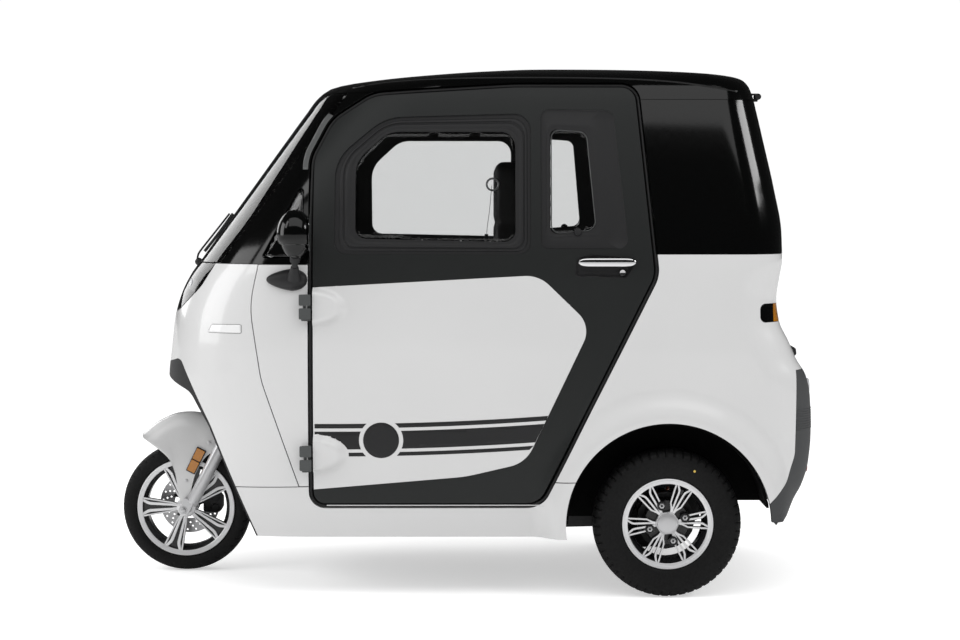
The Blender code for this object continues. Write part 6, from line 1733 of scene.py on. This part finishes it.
recess = solid_piece("plate_recess", slab_across(box_outline(0.152, 0.498, 0.632, 0.004), 1.092, 1.1),
                     BUMPER)
placed(recess, "body", "bumper_plastic")
blank_plate = solid_piece("number_plate_blank", slab_across(box_outline(0.135, 0.508, 0.622, 0.008), 1.1,
    1.1018),
                          LAMP_CLEAR, bevel=0.0005)
placed(blank_plate, "body", "white_paint")
plate_screws = joined(*[rod_shape((1.101, y, 0.565), (1.1045, y, 0.565),
                                  ((0.0, 0.005), (0.002, 0.0048), (0.0034, 0.002)),
                                  steps=20) for y in (-0.115, 0.115)])
placed(solid_piece("number_plate_screws", plate_screws, STEEL), "body", "bare_metal")
hood = slab(rounded(((1.045, 0.7125, 0.002), (1.098, 0.7125, 0.004), (1.104, 0.72, 0.005),
                     (1.102, 0.738, 0.01),
                     (1.085, 0.748, 0.01), (1.045, 0.748, 0.002))), -0.06, 0.06)
placed(solid_piece("plate_lamp_hood", hood, TRIM, bevel=0.002), "body", "trim_plastic")
under = slab(rounded(((1.06, 0.7102, 0.001), (1.096, 0.7102, 0.001), (1.096, 0.713, 0.001),
                      (1.06, 0.713, 0.001))),
             -0.048, 0.048)
placed(solid_piece("plate_lamp_lens", under, LAMP_CLEAR), "body", "lamp_glass")

HATCH_HINGE = (0.95, 1.552)


def hinge_rod(middle, half, profile, steps=32):
    """A turned piece on the hatch hinge's axis, centred at a depth across."""
    start = (HATCH_HINGE[0], middle - half, HATCH_HINGE[1])
    end = (HATCH_HINGE[0], middle + half, HATCH_HINGE[1])
    return rod_shape(start, end, profile, steps=steps)


eye_parts, knuckle_parts = [], []
for middle in (-0.2, 0.2):
    for y in (middle - 0.017, middle + 0.017):
        eye_parts.append(hinge_rod(y, 0.005, ((0.0, 0.009), (0.001, 0.01), (0.009, 0.01), (0.01, 0.009))))
        eye_parts.append(slab(rectangle(0.909, 1.5575, 0.952, 1.562), y - 0.005, y + 0.005))
    eye_parts.append(hinge_rod(middle, 0.0225, ((0.0, 0.005), (0.045, 0.005)), steps=20))
    knuckle_profile = ((0.0, 0.009), (0.001, 0.01), (0.0214, 0.01), (0.0224, 0.009))
    knuckle_parts.append(hinge_rod(middle, 0.0112, knuckle_profile))
    knuckle_parts.append(slab(rectangle(0.912, 1.537, 0.95, 1.546), middle - 0.0112, middle + 0.0112))
placed(solid_piece("hatch_hinge_eyes", joined(*eye_parts), TRIM, bevel=0.0006), "body", "trim_plastic")
knuckles = solid_piece("hatch_hinge_knuckles", joined(*knuckle_parts), TRIM, bevel=0.0006)
placed(knuckles, "hatch", "trim_plastic")
handle_base = slab_across(box_outline(0.06, 1.094, 1.116, 0.008), 1.012, 1.029)
grip = swept_shape(((1.03, -0.05, 1.105), (1.04, -0.042, 1.105), (1.043, 0.0, 1.105), (1.04, 0.042, 1.105),
                    (1.03, 0.05, 1.105)), 0.006, 0.0045, (0, 0, 1))
placed(solid_piece("hatch_handle", joined(handle_base, grip), TRIM, bevel=0.001), "hatch", "trim_plastic")


# Seat: cushion and back are padded forms blown up by cloth simulation from a slightly
# smaller start; sewn channels are pressed in afterwards. A belt hangs by the back.

def applied(piece):
    """The piece with its modifiers applied."""
    evaluated = piece.evaluated_get(bpy.context.evaluated_depsgraph_get())
    mesh = bpy.data.meshes.new_from_object(evaluated)
    piece.modifiers.clear()
    piece.data = mesh
    return piece


def points_of(piece):
    """A piece's points as an array."""
    spots = np.empty(len(piece.data.vertices) * 3)
    piece.data.vertices.foreach_get("co", spots)
    return spots.reshape(-1, 3)


def stuffed(name, start, voxel, cap, limits, channels):
    """A padded piece: pressure swells its start up to a cap, and the limits keep its seat flat."""
    piece = solid_piece(name, start, LEATHER, bevel=0.022)
    piece.modifiers["Edges"].segments = 4
    remesh = piece.modifiers.new("Remesh", "REMESH")
    remesh.mode = "VOXEL"
    remesh.voxel_size = voxel
    applied(piece)
    before = points_of(piece)
    cloth = piece.modifiers.new("Cloth", "CLOTH")
    cloth.settings.quality = 5
    cloth.settings.mass = 0.3
    cloth.settings.use_pressure = True
    cloth.settings.uniform_pressure_force = 4.0
    cloth.settings.effector_weights.gravity = 0.0
    cloth.point_cache.frame_start = 1
    cloth.point_cache.frame_end = 20
    for step in range(1, 21):
        bpy.context.scene.frame_set(step)
    applied(piece)
    bpy.context.scene.frame_set(1)
    move = points_of(piece) - before
    reach = np.linalg.norm(move, axis=1)[:, None]
    spots = before + move * np.minimum(1.0, cap / np.maximum(reach, 1e-9))
    spots = channels(np.clip(spots, *limits))
    piece.data.vertices.foreach_set("co", spots.ravel())
    piece.data.update()
    smooth = piece.modifiers.new("Smooth", "SUBSURF")
    smooth.levels = smooth.render_levels = 1
    applied(piece)
    piece.data.materials.clear()
    piece.data.materials.append(LEATHER)
    piece.data.shade_smooth()
    return piece


def cushion_channels(spots):
    """Three sewn channels across the cushion's top and one round its edge."""
    moved = spots.copy()
    top = np.clip((spots[:, 2] - 0.56) / 0.015, 0, 1)
    inner = np.clip((0.185 - np.abs(spots[:, 1])) / 0.01, 0, 1)
    for x in (-0.15, -0.07, 0.01):
        moved[:, 2] -= 0.0055 * np.exp(-((spots[:, 0] - x) / 0.0075) ** 2) * top * inner
    moved[:, 2] -= 0.0045 * np.exp(-((np.abs(spots[:, 1]) - 0.185) / 0.007) ** 2) * top
    return moved


def back_channels(spots):
    """Sewn channels across the front of the back, and the line under its headrest."""
    moved = spots.copy()
    front = np.clip((0.135 - spots[:, 0]) / 0.012, 0, 1)
    for z in (0.72, 0.81, 0.9, 0.99):
        inner = np.clip((0.15 - np.abs(spots[:, 1])) / 0.01, 0, 1)
        moved[:, 0] += 0.0055 * np.exp(-((spots[:, 2] - z) / 0.008) ** 2) * front * inner
    seam = np.exp(-((np.abs(spots[:, 1]) - 0.15) / 0.0075) ** 2)
    moved[:, 0] += 0.005 * seam * front * (spots[:, 2] < 1.08)
    moved[:, 0] += 0.006 * np.exp(-((spots[:, 2] - 1.15) / 0.009) ** 2) * front
    return moved


SEAT_BACK_OUTLINE = (
    (0.195, 0.5003, 0.02), (0.235, 0.8, 0.15), (0.215, 1.08, 0.09), (0.13, 1.16, 0.06),
    (0.115, 1.368, 0.045),
    (-0.115, 1.368, 0.045), (-0.13, 1.16, 0.06), (-0.215, 1.08, 0.09), (-0.235, 0.8, 0.15),
    (-0.195, 0.5003, 0.02),
)
seat_start = slab(rounded(((-0.252, 0.503, 0.03), (0.105, 0.503, 0.01), (0.105, 0.585, 0.025),
                           (-0.252, 0.585, 0.035))), -0.227, 0.227)
cushion = stuffed("seat_cushion_cover", seat_start, 0.008, 0.012,
                  ((-0.262, -0.237, 0.5006), (0.1094, 0.237, 0.6)), cushion_channels)
placed(cushion, "body", "seat_cover", "seat_cushion")
back_start = slab_across(rounded(grown(SEAT_BACK_OUTLINE, -0.008)), 0.117, 0.203)
seat_back = stuffed("seat_back_cover", back_start, 0.0095, 0.012,
                    ((0.11, -0.24, 0.5006), (0.211, 0.24, 1.368)), back_channels)
placed(seat_back, "body", "seat_cover", "seat_back")

belt = solid_piece("seat_belt", swept_shape(
    ((0.103, -0.142, 1.266), (0.096, -0.16, 1.19), (0.086, -0.195, 1.1), (0.082, -0.215, 0.9),
     (0.082, -0.215, 0.66)), 0.021, 0.0008, (0, 1, 0), count=60, sides=12, power=5.0), TRIM)
placed(belt, "body", "trim_plastic")
belt_ring = solid_piece("seat_belt_ring", joined(
    turned_ring(np.stack([0.0032 * np.cos(turn[::8]), 0.019 + 0.0032 * np.sin(turn[::8])], 1),
                (0.106, -0.142, 1.274), 40),
    swept_shape(((0.125, -0.118, 1.28), (0.115, -0.13, 1.29), (0.107, -0.142, 1.293)), 0.006, 0.003)),
    STEEL)
placed(belt_ring, "body", "bare_metal")
buckle = slab_across(rounded(((-0.241, 0.61, 0.006), (-0.189, 0.61, 0.006), (-0.189, 0.68, 0.006),
                              (-0.241, 0.68, 0.006))), 0.072, 0.092)
slider = slab_across(rounded(((-0.219, 1.085, 0.004), (-0.171, 1.085, 0.004), (-0.171, 1.115, 0.004),
                              (-0.219, 1.115, 0.004))), 0.08, 0.092)
placed(solid_piece("seat_belt_buckle", joined(buckle, slider), TRIM, bevel=0.002), "body", "trim_plastic")


# Handlebar: a smooth bar with ribbed grips and brake levers, and a console with a
# dark display. The floor has a ribbed mat.

bar_middle = np.array(steer_point(1.03))
bar_path = bar_middle + np.array(((0.1, -0.27, -0.02), (0.055, -0.2, -0.006), (0.012, -0.12, 0.0),
                                  (0.0, -0.06, 0.0),
                                  (0.0, 0.06, 0.0), (0.012, 0.12, 0.0), (0.055, 0.2, -0.006),
                                  (0.1, 0.27, -0.02)))
bar_piece = swept_shape(bar_path, 0.011, 0.011, (0, 0, 1), count=90, sides=24)
riser = rod_shape(steer_point(0.986), steer_point(1.03), ((0.0, 0.02), (0.002, 0.022), (0.03, 0.022),
    (0.049, 0.016)))
placed(solid_piece("handlebar_bar", joined(bar_piece, riser), BLACK_STEEL), "steering", "frame_steel",
       "handlebar")
grip_parts, lever_parts = [], []
ribs = ([(0.0, 0.013), (0.001, 0.0165)]
        + [(0.002 + 0.0022 * k, 0.015 + 0.0016 * (k % 2)) for k in range(40)]
        + [(0.091, 0.0175), (0.094, 0.0165), (0.095, 0.012)])
for side in (-1, 1):
    inner = bar_middle + np.array((0.057, side * 0.203, -0.0065))
    outer = bar_middle + np.array((0.1, side * 0.27, -0.02))
    outer = inner + (outer - inner) * 1.02
    grip_parts.append(rod_shape(outer, inner, ribs, steps=40))
    lever_parts.append(swept_shape(bar_middle + np.array((
        (0.01, side * 0.13, 0.0), (-0.02, side * 0.15, -0.004), (0.015, side * 0.205, -0.01),
        (0.05, side * 0.26, -0.026))), 0.005, 0.0036, (0, 0, 1), sides=14))
placed(solid_piece("handlebar_grips", joined(*grip_parts), RUBBER, crease=45), "steering", "cabin_plastic")
placed(solid_piece("brake_levers", joined(*lever_parts), STEEL), "steering", "bare_metal")
console = slab(rounded(((bar_middle[0] - 0.045, 1.002, 0.014), (bar_middle[0] + 0.025, 1.002, 0.014),
                        (bar_middle[0] + 0.035, 1.02, 0.01), (bar_middle[0] + 0.015, 1.064, 0.01),
                        (bar_middle[0] - 0.045, 1.064, 0.02))), -0.084, 0.084)
placed(solid_piece("console_cover", console, TRIM, bevel=0.007), "steering", "cabin_plastic")
face = slab(rounded(((bar_middle[0] + 0.0345, 1.0235, 0.001), (bar_middle[0] + 0.0362, 1.0243, 0.001),
                     (bar_middle[0] + 0.0182, 1.0595, 0.001), (bar_middle[0] + 0.0165, 1.0587, 0.001))),
            -0.06, 0.06)
placed(solid_piece("console_display", face, BLACK, bevel=0.0004), "steering", "smoked_glass")

mat_x = np.linspace(-0.54, -0.29, 201)
mat_top = 0.2395 + 0.002 * (np.sin(2 * math.pi * mat_x / 0.0125) > 0)
mat_outline = np.vstack([np.stack([mat_x, mat_top], 1), ((-0.29, 0.2362), (-0.54, 0.2362))])
placed(solid_piece("floor_mat", slab(mat_outline, -0.39, 0.39), RUBBER), "body", "cabin_plastic")


# CAD nodes that show as they are take their materials here.

NODE_LOOKS = {
    "frame": BLACK_STEEL, "rear_axle": BLACK_STEEL, "wheel_liner_left": LINER, "wheel_liner_right": LINER,
    "floor_pan": LINING, "dashboard": LINING, "rear_tub": LINING, "seat_box": LINING,
    "door_post_left": HINGE_GREY, "door_post_right": HINGE_GREY,
}
for node, look in NODE_LOOKS.items():
    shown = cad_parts[node]
    shown.data.materials.clear()
    shown.data.materials.append(look)


# Stage: a white floor and surroundings, soft boxes and the camera as in the photograph.

floor_mesh = bpy.data.meshes.new("floor")
floor_mesh.from_pydata([(-40, -40, 0), (40, -40, 0), (40, 40, 0), (-40, 40, 0)], [], [(0, 1, 2, 3)])
floor = bpy.data.objects.new("floor", floor_mesh)
bpy.context.scene.collection.objects.link(floor)
FLOOR_WHITE = surface_material("floor_white", (0.9, 0.9, 0.9), 0.9, specular=0.0, grain=5, tint=0.0)
floor_tree = FLOOR_WHITE.node_tree
glow = node_of(floor_tree, "ShaderNodeEmission", Color=(1, 1, 1, 1), Strength=0.5)
floor_path = floor_tree.nodes.new("ShaderNodeLightPath")
no_glow = floor_tree.nodes.new("ShaderNodeMixShader")
both = floor_tree.nodes.new("ShaderNodeAddShader")
floor_tree.links.new(floor_path.outputs["Is Camera Ray"], no_glow.inputs["Fac"])
floor_tree.links.new(glow.outputs["Emission"], no_glow.inputs[2])
floor_tree.links.new(floor_tree.nodes["Principled BSDF"].outputs["BSDF"], both.inputs[0])
floor_tree.links.new(no_glow.outputs["Shader"], both.inputs[1])
floor_tree.links.new(both.outputs["Shader"], floor_tree.nodes["Material Output"].inputs["Surface"])
floor_mesh.materials.append(FLOOR_WHITE)

world = bpy.data.worlds.new("surroundings")
bpy.context.scene.world = world
world.use_nodes = True
tree = world.node_tree
tree.nodes.clear()
output = tree.nodes.new("ShaderNodeOutputWorld")
path = tree.nodes.new("ShaderNodeLightPath")
seen = node_of(tree, "ShaderNodeBackground", Color=(1, 1, 1, 1), Strength=1.02)
lit = node_of(tree, "ShaderNodeBackground", Color=(1, 1, 1, 1), Strength=0.72)
mirrored_world = node_of(tree, "ShaderNodeBackground", Color=(1, 1, 1, 1), Strength=0.03)
first = tree.nodes.new("ShaderNodeMixShader")
second = tree.nodes.new("ShaderNodeMixShader")
tree.links.new(path.outputs["Is Glossy Ray"], first.inputs["Fac"])
tree.links.new(lit.outputs["Background"], first.inputs[1])
tree.links.new(mirrored_world.outputs["Background"], first.inputs[2])
tree.links.new(path.outputs["Is Camera Ray"], second.inputs["Fac"])
tree.links.new(first.outputs["Shader"], second.inputs[1])
tree.links.new(seen.outputs["Background"], second.inputs[2])
tree.links.new(second.outputs["Shader"], output.inputs["Surface"])


def soft_box(name, place, target, width, height, power):
    """A rectangular area light turned to a target."""
    data = bpy.data.lights.new(name, "AREA")
    data.shape = "RECTANGLE"
    data.size = width
    data.size_y = height
    data.energy = power
    light = bpy.data.objects.new(name, data)
    light.location = place
    light.rotation_euler = (Vector(target) - Vector(place)).to_track_quat("-Z", "Y").to_euler()
    light.visible_camera = False
    bpy.context.scene.collection.objects.link(light)


soft_box("top_box", (0.1, -2.4, 3.45), (0.1, -0.3, 1.2), 5.0, 2.2, 38)
soft_box("front_box", (-4.2, -0.8, 2.0), (-0.5, 0.0, 0.9), 2.0, 2.2, 38)
soft_box("pillar_box", (-4.3, -2.9, 4.0), (-0.5, -0.45, 1.35), 1.1, 2.4, 22)
soft_box("far_box", (-3.6, 3.6, 2.4), (-0.7, 0.0, 1.25), 2.5, 2.5, 40)
soft_box("rear_box", (4.4, -1.2, 3.0), (0.5, 0.0, 1.2), 1.6, 0.8, 34)

camera_data = bpy.data.cameras.new("camera")
camera_data.sensor_width = 36.0
camera_data.lens = 78.4
camera = bpy.data.objects.new("camera", camera_data)
camera.location = (0.0655, -6.9, 1.224)
camera.rotation_euler = (math.radians(90 - 3.286), 0.0, 0.0)
bpy.context.scene.collection.objects.link(camera)
bpy.context.scene.camera = camera
bpy.context.scene.view_settings.view_transform = "Standard"
